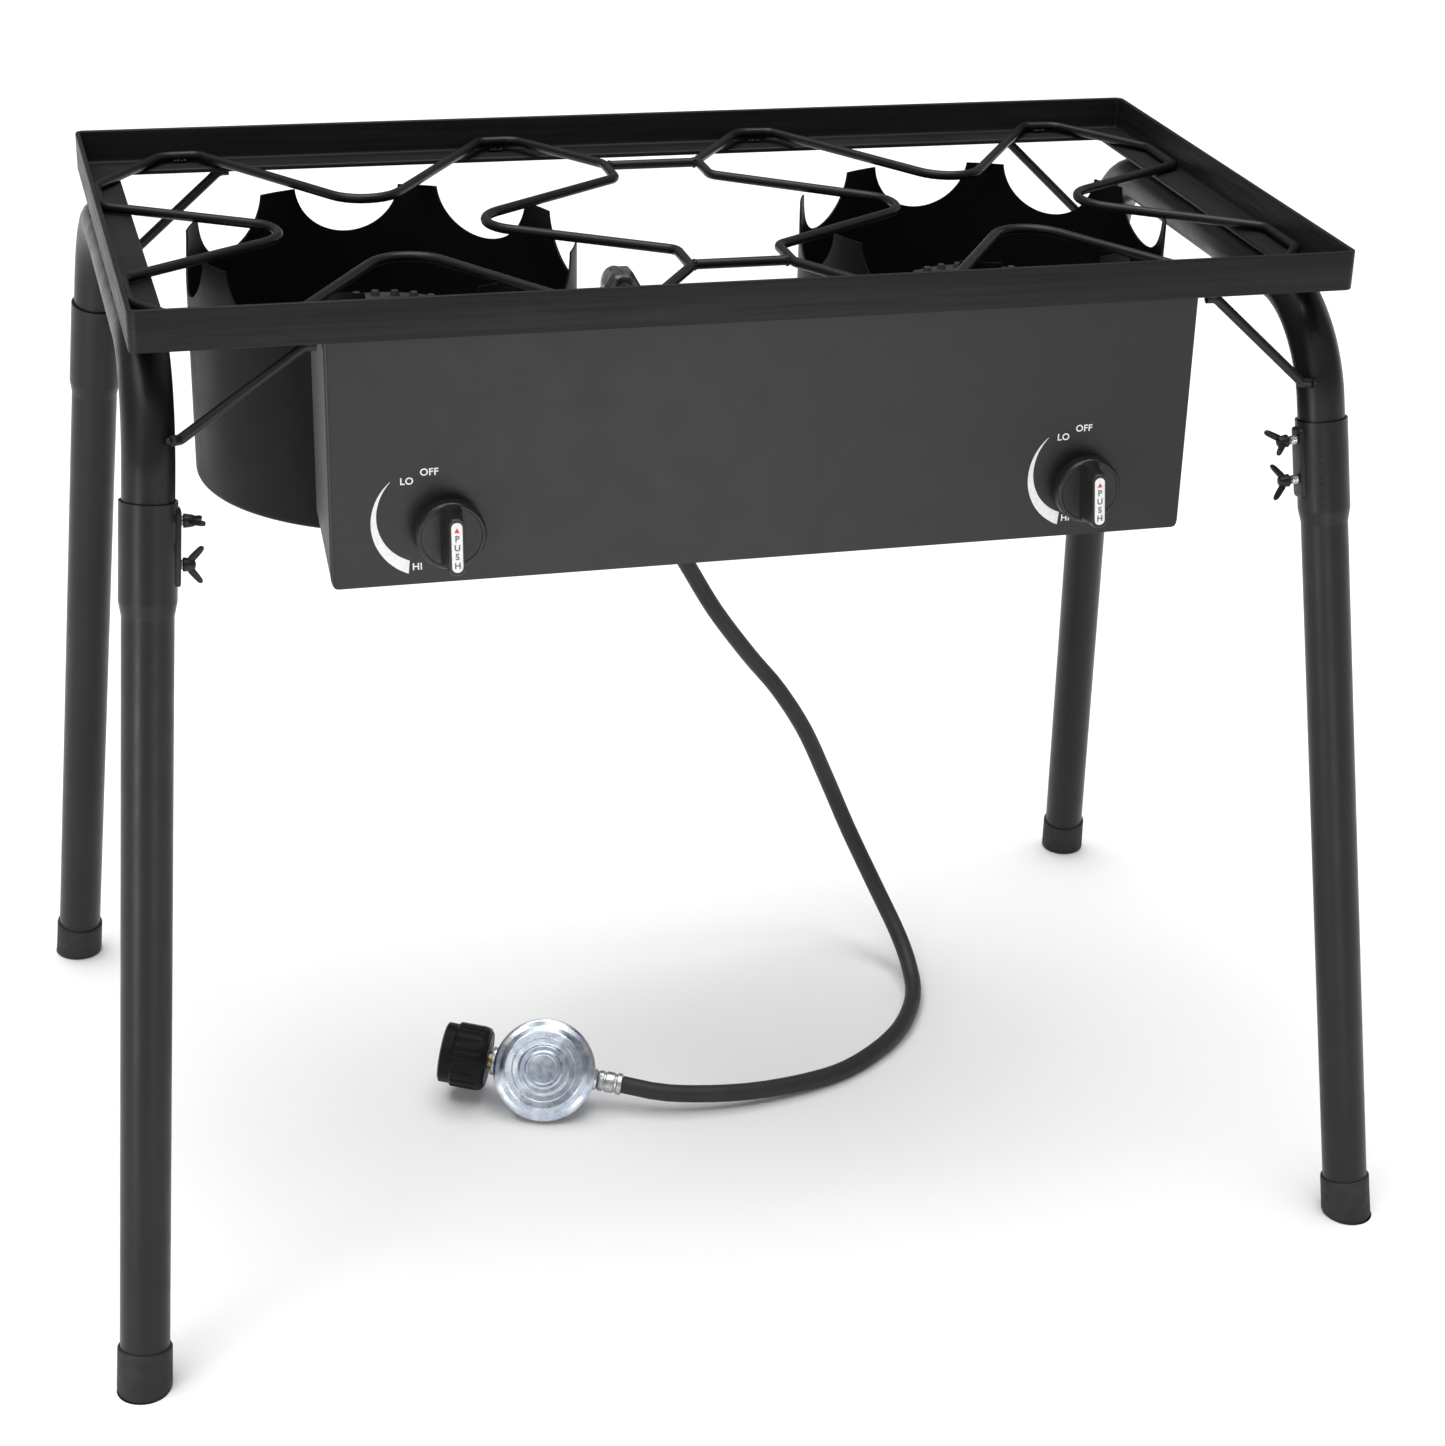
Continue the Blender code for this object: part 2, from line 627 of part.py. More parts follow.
def valve_stem(name, side):
    """The stem that the knob sits on; it slides in and turns in the valve."""
    inner = PANEL_FACE - PANEL_SHEET - FIT_GAP - 0.015
    outer = PANEL_FACE + KNOB_BACK + 0.016
    profile = [(0, outer), (STEM_RADIUS, outer), (STEM_RADIUS, inner), (0, inner)]
    finish(turned(profile, 16, along_front(side)), "valve_stem_" + name, BRASS)


def stem_washer(name, side):
    """The spring washer that the stem carries in and out of the bonnet."""
    seat = PANEL_FACE - PANEL_SHEET - FIT_GAP - 0.003
    hole = STEM_RADIUS + FIT_GAP
    profile = [(0.0066, seat), (0.0066, seat - 0.001), (hole, seat - 0.001), (hole, seat)]
    finish(turned(profile, 20, along_front(side)), "stem_washer_" + name, ZINC)


def knob(name, side):
    """The round knob with a grip bar across it, bored for the stem."""
    back = PANEL_FACE + KNOB_BACK
    skirt = back + KNOB_SKIRT
    bore = STEM_RADIUS + FIT_GAP
    bore_end = back + 0.0165
    profile = [(0, skirt), (KNOB_RADIUS - 0.0022, skirt), (KNOB_RADIUS - 0.0006, skirt - 0.0012),
               (KNOB_RADIUS, back), (KNOB_RADIUS - 0.002, back), (KNOB_RADIUS - 0.003, skirt - 0.003),
               (0.0065, skirt - 0.003), (0.0065, back), (0, back)]
    shape = as_mesh(turned(profile, 28, along_front(side)))
    shape.name = "knob_" + name
    half_length, half_width = GRIP_LENGTH / 2, GRIP_WIDTH / 2
    turn = half_width * 0.9
    outline = rounded_rectangle(half_width, half_length, turn, 4)
    depth = KNOB_DEPTH - KNOB_SKIRT + 0.002
    middle = back + KNOB_DEPTH - depth / 2
    grip = plate([tuple(point)[:2] for point in outline], depth,
                 along_front(side) @ Matrix.Translation((0, 0, middle)))
    combine(shape, grip, "UNION")
    x = side * BURNER_X + KNOB_SHIFT
    hole = rods([((x, -back + 0.002, KNOB_Z), (x, -bore_end, KNOB_Z))], bore)
    combine(shape, hole, "DIFFERENCE")
    finish(shape, "knob_" + name, BLACK_PLASTIC)


def gas_manifold():
    """The pipe that feeds both valves, with its inlet pipe to the back."""
    reach = BURNER_X + 0.020
    pipe = rods([((-reach, MANIFOLD_Y, MANIFOLD_Z), (reach, MANIFOLD_Y, MANIFOLD_Z))], MANIFOLD_RADIUS, 20)
    pipe.name = "gas_manifold"
    rear = INLET_Y - 0.0165
    corners = [(INLET_X, MANIFOLD_Y, MANIFOLD_Z), (INLET_X, -0.120, MANIFOLD_Z), (INLET_X, -0.075, INLET_Z),
               (INLET_X, rear, INLET_Z)]
    inlet = as_mesh(wire(rounded(corners, [0, 0.02, 0.02, 0], 4), INLET_PIPE, fineness=3))
    combine(pipe, inlet, "UNION")
    finish(pipe, "gas_manifold", BLACK_COAT)


def inlet_nut():
    """The flare nut on the end of the inlet pipe."""
    bore = (INLET_PIPE + FIT_GAP) / math.cos(math.pi / 6)
    profile = [(0.0125, 0.0), (0.0125, -0.015), (0.0108, -0.019), (bore, -0.019), (bore, 0.0)]
    place = facing((0, 1, 0), (INLET_X, INLET_Y - 0.0175, INLET_Z))
    finish(turned(profile, 6, place), "inlet_nut", ZINC, smooth=False)


def inlet_elbow():
    """The elbow that turns the gas line down to the hose."""
    low = HOSE_ROUTE[0][2] + FERRULE_LENGTH + FIT_GAP
    corners = [(INLET_X, INLET_Y - 0.0162, INLET_Z), (INLET_X, INLET_Y, INLET_Z), (INLET_X, INLET_Y, low)]
    finish(as_mesh(wire(rounded(corners, [0, 0.009, 0], 5), 0.0088, fineness=4)), "inlet_elbow", ZINC)


# ----------------------------------------------------------------------------
# Hose and regulator
# ----------------------------------------------------------------------------
def hose():
    """The rubber hose, from the elbow down to the floor and round to the regulator."""
    finish(wire(smooth_route(HOSE_ROUTE, 0.030), HOSE_RADIUS), "gas_hose", RUBBER)


def ferrule(name, start, direction):
    """The crimped sleeve on an end of the hose."""
    r = FERRULE_RADIUS
    far = FERRULE_LENGTH
    profile = [(0, far), (r - 0.001, far), (r, far - 0.001), (r, FIT_GAP + 0.001), (r - 0.001, FIT_GAP),
               (0, FIT_GAP)]
    finish(turned(profile, 16, facing(direction, start)), "hose_ferrule_" + name, ZINC)


REGULATOR_CENTRE = Vector(HOSE_ROUTE[-1]) + REGULATOR_AXIS * REGULATOR_OFFSET
RIM_CENTRE = REGULATOR_CENTRE + REGULATOR_FACE * DISC_AHEAD


def regulator_body():
    """The cup behind the rim, with the outlet boss and the inlet boss."""
    rim = REGULATOR_RADIUS
    profile = [(rim, 0.0), (rim, -0.0032), (rim - 0.005, -0.0045), (0.0275, -0.0095), (0.0225, -0.020),
               (0.0195, -0.0268), (0, -0.0268), (0, -0.018), (0.017, -0.018), (0.022, -0.006),
               (0.030, 0.0)]
    body = as_mesh(turned(profile, 28, facing(REGULATOR_FACE, RIM_CENTRE)))
    body.name = "regulator_body"
    outlet = REGULATOR_CENTRE - REGULATOR_AXIS * (REGULATOR_OFFSET - FERRULE_LENGTH - FIT_GAP)
    inlet = REGULATOR_CENTRE + REGULATOR_AXIS * (NUT_NEAR - 0.0025)
    out_boss = rods([(REGULATOR_CENTRE - REGULATOR_AXIS * 0.0235, outlet)], 0.0072, 16)
    combine(body, out_boss, "UNION")
    in_boss = rods([(REGULATOR_CENTRE + REGULATOR_AXIS * 0.0235, inlet)], 0.0095, 16)
    combine(body, in_boss, "UNION")
    finish(body, "regulator_body", ZINC)


def regulator_cover():
    """The stepped cover clamped on the rim, with its vent hole."""
    rim = REGULATOR_RADIUS
    lift = FIT_GAP
    profile = [(0, 0.0125), (0.0135, 0.0125), (0.0145, 0.0115), (0.0172, 0.0115), (0.0185, 0.0095),
               (0.0290, 0.0078), (0.0325, 0.0040), (rim - 0.001, 0.0032), (rim, 0.0022), (rim, lift),
               (0.0300, lift), (0.0270, 0.0055), (0.017, 0.0072), (0, 0.0072)]
    cover = as_mesh(turned(profile, 28, facing(REGULATOR_FACE, RIM_CENTRE)))
    cover.name = "regulator_cover"
    side = REGULATOR_FACE.cross(REGULATOR_AXIS)
    spot = RIM_CENTRE - side * 0.0235
    vent = rods([(spot + REGULATOR_FACE * 0.004, spot + REGULATOR_FACE * 0.015)], 0.0016, 10)
    combine(cover, vent, "DIFFERENCE")
    finish(cover, "regulator_cover", ZINC)


def tank_nipple():
    """The brass nose that seals in the cylinder valve, inside the hand nut."""
    r = NIPPLE_RADIUS
    start = NUT_NEAR - 0.0025 + FIT_GAP
    profile = [(0, NUT_FAR + 0.002), (0.0035, NUT_FAR + 0.001), (0.0058, NUT_FAR - 0.005),
               (0.0058, NUT_FAR - 0.014), (0.0115, NUT_FAR - 0.016), (0.0115, NUT_NEAR + 0.0085),
               (r, NUT_NEAR + 0.0085), (r, start), (0, start)]
    finish(turned(profile, 20, facing(REGULATOR_AXIS, REGULATOR_CENTRE)), "tank_nipple", BRASS)


def hand_nut():
    """The plastic nut that is turned by hand onto the cylinder valve."""
    r = NUT_RADIUS
    neck = NIPPLE_RADIUS + 0.0005
    profile = [(r - 0.004, NUT_FAR), (r - 0.002, NUT_FAR - 0.002), (r - 0.002, NUT_FAR - 0.008),
               (r, NUT_FAR - 0.010), (r, NUT_NEAR + 0.005), (r - 0.004, NUT_NEAR), (neck, NUT_NEAR),
               (neck, NUT_NEAR + 0.008), (NUT_BORE, NUT_NEAR + 0.008), (NUT_BORE, NUT_FAR)]
    finish(turned(profile, 24, facing(REGULATOR_AXIS, REGULATOR_CENTRE)), "hand_nut", BLACK_PLASTIC)


# ----------------------------------------------------------------------------
# Front panel
# ----------------------------------------------------------------------------
def front_panel():
    """The folded panel: a face, two side flanges cut on a slant, and a top flange."""
    left, right = PANEL_MIDDLE - PANEL_WIDTH / 2, PANEL_MIDDLE + PANEL_WIDTH / 2
    top = FLANGE_BOTTOM - FIT_GAP
    sheet = PANEL_SHEET
    corners = [(left, PANEL_BOTTOM, 0), (right, PANEL_BOTTOM, 0), (right, top, 0), (left, top, 0)]
    face = rounded(corners, [0.003, 0.003, 0, 0], 3, cyclic=True)
    front = Matrix(((1, 0, 0, 0), (0, 0, -1, -PANEL_FACE + sheet / 2), (0, 1, 0, 0), (0, 0, 0, 1)))
    panel = plate([tuple(point)[:2] for point in face], sheet, front)
    panel.name = "front_panel"
    deep = -PANEL_FACE + PANEL_RETURN
    outline = [(-PANEL_FACE + sheet / 2, PANEL_BOTTOM + 0.008), (deep, PANEL_BOTTOM + 0.030),
               (deep, top), (-PANEL_FACE + sheet / 2, top)]
    upright = Matrix(((0, 0, 1, 0), (1, 0, 0, 0), (0, 1, 0, 0), (0, 0, 0, 1)))
    for x in (left + sheet / 2, right - sheet / 2):
        combine(panel, plate(outline, sheet, Matrix.Translation((x, 0, 0)) @ upright), "UNION")
    shelf = box((left + sheet / 2, -PANEL_FACE + sheet / 2, top - sheet),
                (right - sheet / 2, -PANEL_FACE + 0.020, top))
    combine(panel, shelf, "UNION")
    holes = [((side * BURNER_X + KNOB_SHIFT, -PANEL_FACE - 0.004, KNOB_Z),
              (side * BURNER_X + KNOB_SHIFT, -PANEL_FACE + 0.005, KNOB_Z)) for side in SIDES.values()]
    combine(panel, rods(holes, STEM_HOLE), "DIFFERENCE")
    finish(panel, "front_panel", PANEL_COAT, smooth=False)


# ----------------------------------------------------------------------------
# Legs, feet and wing screws
# ----------------------------------------------------------------------------
def lower_leg(name, side, end):
    """A plug-in leg: a tube with a widened socket, a nut plate and two screw holes."""
    place = leg_place(side, end)
    lift = SOCKET_LIFT[name]
    bottom = (CAP_SOLE + FIT_GAP) * LEG_SCALE
    step = (SOCKET_BOTTOM + lift) * LEG_SCALE
    top = (SOCKET_TOP + lift) * LEG_SCALE
    inner = TUBE_RADIUS - TUBE_WALL
    profile = [(SOCKET_RADIUS, top), (SOCKET_RADIUS, step - 0.002), (TUBE_RADIUS, step - 0.008),
               (TUBE_RADIUS, bottom), (inner, bottom), (inner, step), (SOCKET_BORE, step),
               (SOCKET_BORE, top)]
    leg = as_mesh(turned(profile, 20, place))
    leg.name = "lower_leg_" + name
    bm = bmesh.new()
    low, high = (PLATE_BOTTOM + lift) * LEG_SCALE, (PLATE_TOP + lift) * LEG_SCALE
    size = (PLATE_FACE - SOCKET_BORE - SOCKET_WALL / 2, PLATE_WIDTH, high - low)
    middle = (PLATE_FACE - size[0] / 2, 0, (low + high) / 2)
    bmesh.ops.create_cube(bm, size=1.0, matrix=Matrix.Translation(middle) @ Matrix.Diagonal((*size, 1)))
    nut_plate = object_from_bmesh(bm)
    nut_plate.matrix_world = place
    combine(leg, nut_plate, "UNION")
    levels = [(z + lift) * LEG_SCALE for z in SCREW_HEIGHTS]
    holes = rods([((SOCKET_BORE - 0.006, 0, z), (PLATE_FACE + 0.003, 0, z)) for z in levels],
                 SCREW_RADIUS + FIT_GAP)
    holes.matrix_world = place
    combine(leg, holes, "DIFFERENCE")
    finish(leg, "lower_leg_" + name, BLACK_COAT)


def foot_cap(name, side, end):
    """The rubber cap on a leg's end, its sole cut level with the floor."""
    r = CAP_RADIUS
    bore = TUBE_RADIUS + FIT_GAP
    seat = CAP_SOLE * LEG_SCALE
    profile = [(r - 0.0006, CAP_HEIGHT), (r, CAP_HEIGHT - 0.001), (r + 0.0002, 0.004), (r - 0.001, 0.0005),
               (r - 0.003, -0.0015), (0, -0.0015), (0, seat), (bore, seat), (bore, CAP_HEIGHT)]
    cap = as_mesh(turned(profile, 20, leg_place(side, end)))
    cap.name = "foot_" + name
    foot = leg_point(side, end, 0.0)
    room = Vector((0.04, 0.04, 0))
    floor = box(foot - room - Vector((0, 0, 0.03)), foot + room)
    combine(cap, floor, "DIFFERENCE")
    finish(cap, "foot_" + name, RUBBER)


def screw_place(side, end, height):
    """Local Z out along a wing screw, local X up the leg; origin on the leg's axis."""
    up, inward = leg_up(side, end), leg_inward(side, end)
    turn = Matrix((up, inward.cross(up), inward)).transposed().to_4x4()
    return Matrix.Translation(leg_point(side, end, height)) @ turn


def screw_shank(name, place, start):
    """The threaded shank, which presses on the upper tube."""
    profile = [(0, start - FIT_GAP), (SCREW_RADIUS, start - FIT_GAP),
               (SCREW_RADIUS, TUBE_RADIUS + FIT_GAP + 0.0008), (SCREW_RADIUS - 0.0008, TUBE_RADIUS + FIT_GAP),
               (0, TUBE_RADIUS + FIT_GAP)]
    finish(turned(profile, 12, place), "screw_shank_" + name, ZINC)


def wing_head(name, place, start, twist):
    """The cast head: a hub with two flared wings."""
    hub = [(0, start + HEAD_LENGTH), (HEAD_RADIUS - 0.001, start + HEAD_LENGTH),
           (HEAD_RADIUS, start + HEAD_LENGTH - 0.001), (HEAD_RADIUS, start), (0, start)]
    head = as_mesh(turned(hub, 12, place))
    head.name = "wing_head_" + name
    bm = bmesh.new()
    for way in (-1, 1):
        root = Vector((0, 0, start + HEAD_LENGTH * 0.45))
        tip = Vector((way * WING_REACH, 0, start + HEAD_LENGTH * 0.45 + WING_FLARE))
        inner = root + (tip - root) * 0.12
        slab = Matrix.Diagonal((WING_WIDTH, WING_THICKNESS, (tip - inner).length, 1))
        aim = (tip - inner).to_track_quat("Z", "Y").to_matrix().to_4x4()
        bmesh.ops.create_cube(bm, size=1.0, matrix=Matrix.Translation((inner + tip) / 2) @ aim @ slab)
    wings = object_from_bmesh(bm)
    wings.matrix_world = place @ Matrix.Rotation(twist, 4, "Z")
    combine(head, wings, "UNION")
    finish(head, "wing_head_" + name, BLACK_COAT)


# How far each wing head is turned, in degrees, lower screw then upper screw.
WING_TWISTS = {"front_left": (12, 88), "front_right": (10, 60), "back_left": (75, 20), "back_right": (40, 5)}


def build():
    """Make every piece."""
    top_frame()
    for name, side in SIDES.items():
        side_tube(name, side)
        pot_ring(name, side)
        wind_guard(name, side)
        burner(name, side)
        air_shutter(name, side)
        valve_body(name, side)
        valve_stem(name, side)
        stem_washer(name, side)
        knob(name, side)
    for name, end in ENDS.items():
        link_rod(name, end)
    for end_name, end in ENDS.items():
        for side_name, side in SIDES.items():
            name = end_name + "_" + side_name
            brace(name, side, end)
            lower_leg(name, side, end)
            foot_cap(name, side, end)
            start = PLATE_FACE + SCREW_STICKOUT[name]
            for level, height, twist in zip(("low", "high"), SCREW_HEIGHTS, WING_TWISTS[name]):
                place = screw_place(side, end, height + SOCKET_LIFT[name])
                screw_shank(name + "_" + level, place, start)
                wing_head(name + "_" + level, place, start, math.radians(twist))
    gas_manifold()
    inlet_nut()
    inlet_elbow()
    hose()
    ferrule("inlet", HOSE_ROUTE[0], (0, 0, 1))
    ferrule("regulator", HOSE_ROUTE[-1], REGULATOR_AXIS)
    regulator_body()
    regulator_cover()
    tank_nipple()
    hand_nut()
    front_panel()


build()
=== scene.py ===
"""How the propane burner stand looks: detailed pieces over its CAD model, materials, light and camera."""

import math

import bmesh
import bpy
from mathutils import Matrix, Vector


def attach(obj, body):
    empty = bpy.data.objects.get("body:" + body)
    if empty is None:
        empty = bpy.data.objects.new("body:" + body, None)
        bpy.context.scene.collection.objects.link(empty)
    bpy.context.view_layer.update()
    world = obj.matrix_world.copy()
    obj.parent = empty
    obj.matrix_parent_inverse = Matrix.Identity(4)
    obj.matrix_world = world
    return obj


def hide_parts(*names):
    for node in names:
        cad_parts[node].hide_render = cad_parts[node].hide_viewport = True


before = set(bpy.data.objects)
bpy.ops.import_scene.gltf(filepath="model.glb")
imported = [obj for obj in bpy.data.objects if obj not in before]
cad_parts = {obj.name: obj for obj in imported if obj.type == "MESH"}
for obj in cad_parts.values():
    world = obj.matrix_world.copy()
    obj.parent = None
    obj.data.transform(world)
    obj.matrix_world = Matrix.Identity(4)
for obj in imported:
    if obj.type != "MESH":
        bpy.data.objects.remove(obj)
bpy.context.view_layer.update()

# ----------------------------------------------------------------------------
# Camera
# ----------------------------------------------------------------------------
FOCAL = 2.0796                                  # focal length over the image's width
CAMERA_PLACE = Vector((-0.489, -1.870, 1.206))
YAW, PITCH, ROLL = (math.radians(angle) for angle in (18.08, 25.78, 2.66))
SHIFT_X, SHIFT_Y = -0.0848, 0.0201


def add_camera():
    """The camera at the photograph's viewing angle."""
    ahead = Vector((math.sin(YAW) * math.cos(PITCH), math.cos(YAW) * math.cos(PITCH), -math.sin(PITCH)))
    level = Vector((math.cos(YAW), -math.sin(YAW), 0))
    above = level.cross(ahead)
    right = level * math.cos(ROLL) + above * math.sin(ROLL)
    up = above * math.cos(ROLL) - level * math.sin(ROLL)
    data = bpy.data.cameras.new("camera")
    data.sensor_fit = "HORIZONTAL"
    data.sensor_width = 36.0
    data.lens = FOCAL * data.sensor_width
    data.shift_x, data.shift_y = SHIFT_X, SHIFT_Y
    camera = bpy.data.objects.new("camera", data)
    turn = Matrix((right, up, -ahead)).transposed().to_4x4()
    camera.matrix_world = Matrix.Translation(CAMERA_PLACE) @ turn
    bpy.context.scene.collection.objects.link(camera)
    bpy.context.scene.camera = camera


add_camera()

# ----------------------------------------------------------------------------
# Sizes shared with the CAD model, in metres
# ----------------------------------------------------------------------------
FIT_GAP = 0.0003
FRAME_WIDTH, FRAME_DEPTH, FRAME_TOP = 0.762, 0.406, 0.678
ANGLE_SIZE, ANGLE_WALL, FRAME_CORNER = 0.0254, 0.0032, 0.006
TUBE_RADIUS, TUBE_WALL, TUBE_BEND = 0.0155, 0.0015, 0.074
FOOT_X, FOOT_Y, LEAN_X, LEAN_Y = 0.4175, 0.286, 0.0766, 0.1679
SOCKET_WALL, SOCKET_TOP, SOCKET_BOTTOM = 0.0014, 0.560, 0.502
PLATE_BOTTOM, PLATE_TOP, PLATE_THICKNESS, PLATE_WIDTH = 0.510, 0.556, 0.0015, 0.014
SCREW_HEIGHTS, SCREW_RADIUS = (0.5225, 0.5483), 0.003
SCREW_STICKOUT = {"front_left": 0.0012, "front_right": 0.0058, "back_left": 0.0030, "back_right": 0.0040}
SOCKET_LIFT = {"front_left": 0.0, "front_right": 0.0035, "back_left": 0.0, "back_right": 0.0015}
HEAD_RADIUS, HEAD_LENGTH = 0.0044, 0.008
CAP_RADIUS, CAP_HEIGHT = 0.0171, 0.029
ROD_RADIUS, BRACE_TAB, RING_RISE = 0.0032, 0.0065, 0.0042
BRACE_SHAPE = {"front_left": (0.597, 0.281), "front_right": (0.590, 0.290),
               "back_left": (0.586, 0.287), "back_right": (0.588, 0.290)}
BURNER_X, RING_HALF_WIDTH, RING_HALF_DEPTH, RING_BEND, LINK_Y = 0.2035, 0.1705, 0.196, 0.026, 0.118
GUARD_RADIUS, GUARD_WALL, GUARD_BOTTOM, GUARD_TOP, GUARD_EDGE = 0.124, 0.0012, 0.5005, 0.6556, 0.004
GUARD_SHIFT, CROWN_TURN = -0.0018, 2.5
SCALLOP_RADIUS, SCALLOP_LOW, DRAIN_RADIUS, DRAIN_CIRCLE = 0.035, 0.624, 0.008, 0.075
KNOB_Z, HEAD_TOP, BURNER_RADIUS, BURNER_THICKNESS = 0.5330, 0.602, 0.062, 0.024
MIXER_RADIUS, MIXER_BORE, MIXER_MOUTH, MIXER_FRONT = 0.0145, 0.0105, 0.020, 0.149
PANEL_WIDTH, PANEL_MIDDLE, PANEL_BOTTOM = 0.5475, 0.0022, 0.498
PANEL_FACE, PANEL_SHEET, PANEL_RETURN = 0.200, 0.0012, 0.055
KNOB_SHIFT, KNOB_RADIUS, KNOB_BACK, KNOB_SKIRT, KNOB_DEPTH = 0.0025, 0.0216, 0.0070, 0.0082, 0.0258
GRIP_LENGTH, GRIP_WIDTH = 0.0365, 0.0092
INLET_X, INLET_Y, INLET_Z, INLET_PIPE = -0.0145, 0.172, 0.569, 0.0065
HOSE_RADIUS, FERRULE_RADIUS, FERRULE_LENGTH = 0.0064, 0.0080, 0.018
HOSE_ROUTE = (
    (-0.0145, 0.1720, 0.5150), (-0.0145, 0.1720, 0.4900), (-0.0080, 0.1720, 0.4510),
    (0.0050, 0.1730, 0.4140), (0.0230, 0.1735, 0.3780), (0.0450, 0.1740, 0.3400),
    (0.0685, 0.1745, 0.2990), (0.0970, 0.1755, 0.2585), (0.1215, 0.1770, 0.2270),
    (0.1450, 0.1785, 0.1885), (0.1650, 0.1790, 0.1440), (0.1840, 0.1735, 0.0980),
    (0.2020, 0.1525, 0.0555), (0.2125, 0.1190, 0.0270), (0.2130, 0.0880, 0.0125),
    (0.2050, 0.0555, 0.0068), (0.1825, 0.0160, 0.0066), (0.1515, -0.0150, 0.0066),
    (0.1140, -0.0380, 0.0068), (0.0670, -0.0510, 0.0092), (0.0240, -0.0545, 0.0120),
    (-0.0200, -0.0492, 0.0153), (-0.0507, -0.0371, 0.0194),
)
REGULATOR_FACE = Vector((-0.2446, -0.805, 0.540)).normalized()
REGULATOR_AXIS = Vector((-0.923, 0.3637, 0.1228)).normalized()
REGULATOR_OFFSET, REGULATOR_RADIUS, DISC_AHEAD = 0.057, 0.037, 0.014
NUT_NEAR, NUT_FAR, NUT_RADIUS, NUT_BORE, NIPPLE_RADIUS = 0.0425, 0.0770, 0.0238, 0.0158, 0.0062

FLANGE_BOTTOM = FRAME_TOP - ANGLE_SIZE
FLANGE_TOP = FLANGE_BOTTOM + ANGLE_WALL
ROD_Z = FLANGE_TOP + FIT_GAP + ROD_RADIUS
SIDE_TUBE_Z = FLANGE_BOTTOM - FIT_GAP - TUBE_RADIUS
SOCKET_BORE = TUBE_RADIUS + FIT_GAP
SOCKET_RADIUS = SOCKET_BORE + SOCKET_WALL
PLATE_FACE = SOCKET_RADIUS + PLATE_THICKNESS
LEG_SCALE = math.sqrt(1 + LEAN_X ** 2 + LEAN_Y ** 2)
REGULATOR_CENTRE = Vector(HOSE_ROUTE[-1]) + REGULATOR_AXIS * REGULATOR_OFFSET
RIM_CENTRE = REGULATOR_CENTRE + REGULATOR_FACE * DISC_AHEAD

SIDES = {"left": -1, "right": 1}
ENDS = {"front": -1, "back": 1}


# ----------------------------------------------------------------------------
# Materials
# ----------------------------------------------------------------------------
class Finish:
    """A Principled BSDF with procedural layers over the object's own coordinates."""

    def __init__(self, name, colour, roughness, metallic=0.0, specular=0.5):
        self.material = bpy.data.materials.new(name)
        self.material.use_nodes = True
        self.tree = self.material.node_tree
        self.shader = self.tree.nodes["Principled BSDF"]
        self.shader.inputs["Base Color"].default_value = (*colour, 1)
        self.shader.inputs["Roughness"].default_value = roughness
        self.shader.inputs["Metallic"].default_value = metallic
        self.shader.inputs["Specular IOR Level"].default_value = specular
        self.coordinates = self.tree.nodes.new("ShaderNodeTexCoord")
        self.bump = None

    def noise(self, scale, detail=3.0, stretch=(1, 1, 1), distortion=0.0):
        """A noise pattern, in features for each metre, stretched along an axis by a small factor."""
        mapping = self.tree.nodes.new("ShaderNodeMapping")
        mapping.inputs["Scale"].default_value = stretch
        self.tree.links.new(self.coordinates.outputs["Object"], mapping.inputs["Vector"])
        texture = self.tree.nodes.new("ShaderNodeTexNoise")
        texture.inputs["Scale"].default_value = scale
        texture.inputs["Detail"].default_value = detail
        texture.inputs["Distortion"].default_value = distortion
        self.tree.links.new(mapping.outputs["Vector"], texture.inputs["Vector"])
        return texture.outputs["Fac"]

    def cells(self, scale):
        """A pattern of small separate cells."""
        texture = self.tree.nodes.new("ShaderNodeTexVoronoi")
        texture.inputs["Scale"].default_value = scale
        self.tree.links.new(self.coordinates.outputs["Object"], texture.inputs["Vector"])
        return texture.outputs["Distance"]

    def colours(self, pattern, low_colour, high_colour, low=0.35, high=0.65):
        """Colour the surface between two tones by a pattern."""
        ramp = self.tree.nodes.new("ShaderNodeValToRGB")
        ramp.color_ramp.elements[0].position, ramp.color_ramp.elements[1].position = low, high
        ramp.color_ramp.elements[0].color = (*low_colour, 1)
        ramp.color_ramp.elements[1].color = (*high_colour, 1)
        self.tree.links.new(pattern, ramp.inputs["Fac"])
        self.tree.links.new(ramp.outputs["Color"], self.shader.inputs["Base Color"])

    def roughness(self, pattern, smoothest, roughest, low=0.3, high=0.7):
        """Vary the roughness by a pattern."""
        spread = self.tree.nodes.new("ShaderNodeMapRange")
        for socket, value in (("From Min", low), ("From Max", high),
                              ("To Min", smoothest), ("To Max", roughest)):
            spread.inputs[socket].default_value = value
        self.tree.links.new(pattern, spread.inputs["Value"])
        self.tree.links.new(spread.outputs["Result"], self.shader.inputs["Roughness"])

    def relief(self, pattern, strength, depth):
        """Add bumps from a pattern, over those already there."""
        bump = self.tree.nodes.new("ShaderNodeBump")
        bump.inputs["Strength"].default_value = strength
        bump.inputs["Distance"].default_value = depth
        self.tree.links.new(pattern, bump.inputs["Height"])
        if self.bump is not None:
            self.tree.links.new(self.bump.outputs["Normal"], bump.inputs["Normal"])
        self.tree.links.new(bump.outputs["Normal"], self.shader.inputs["Normal"])
        self.bump = bump


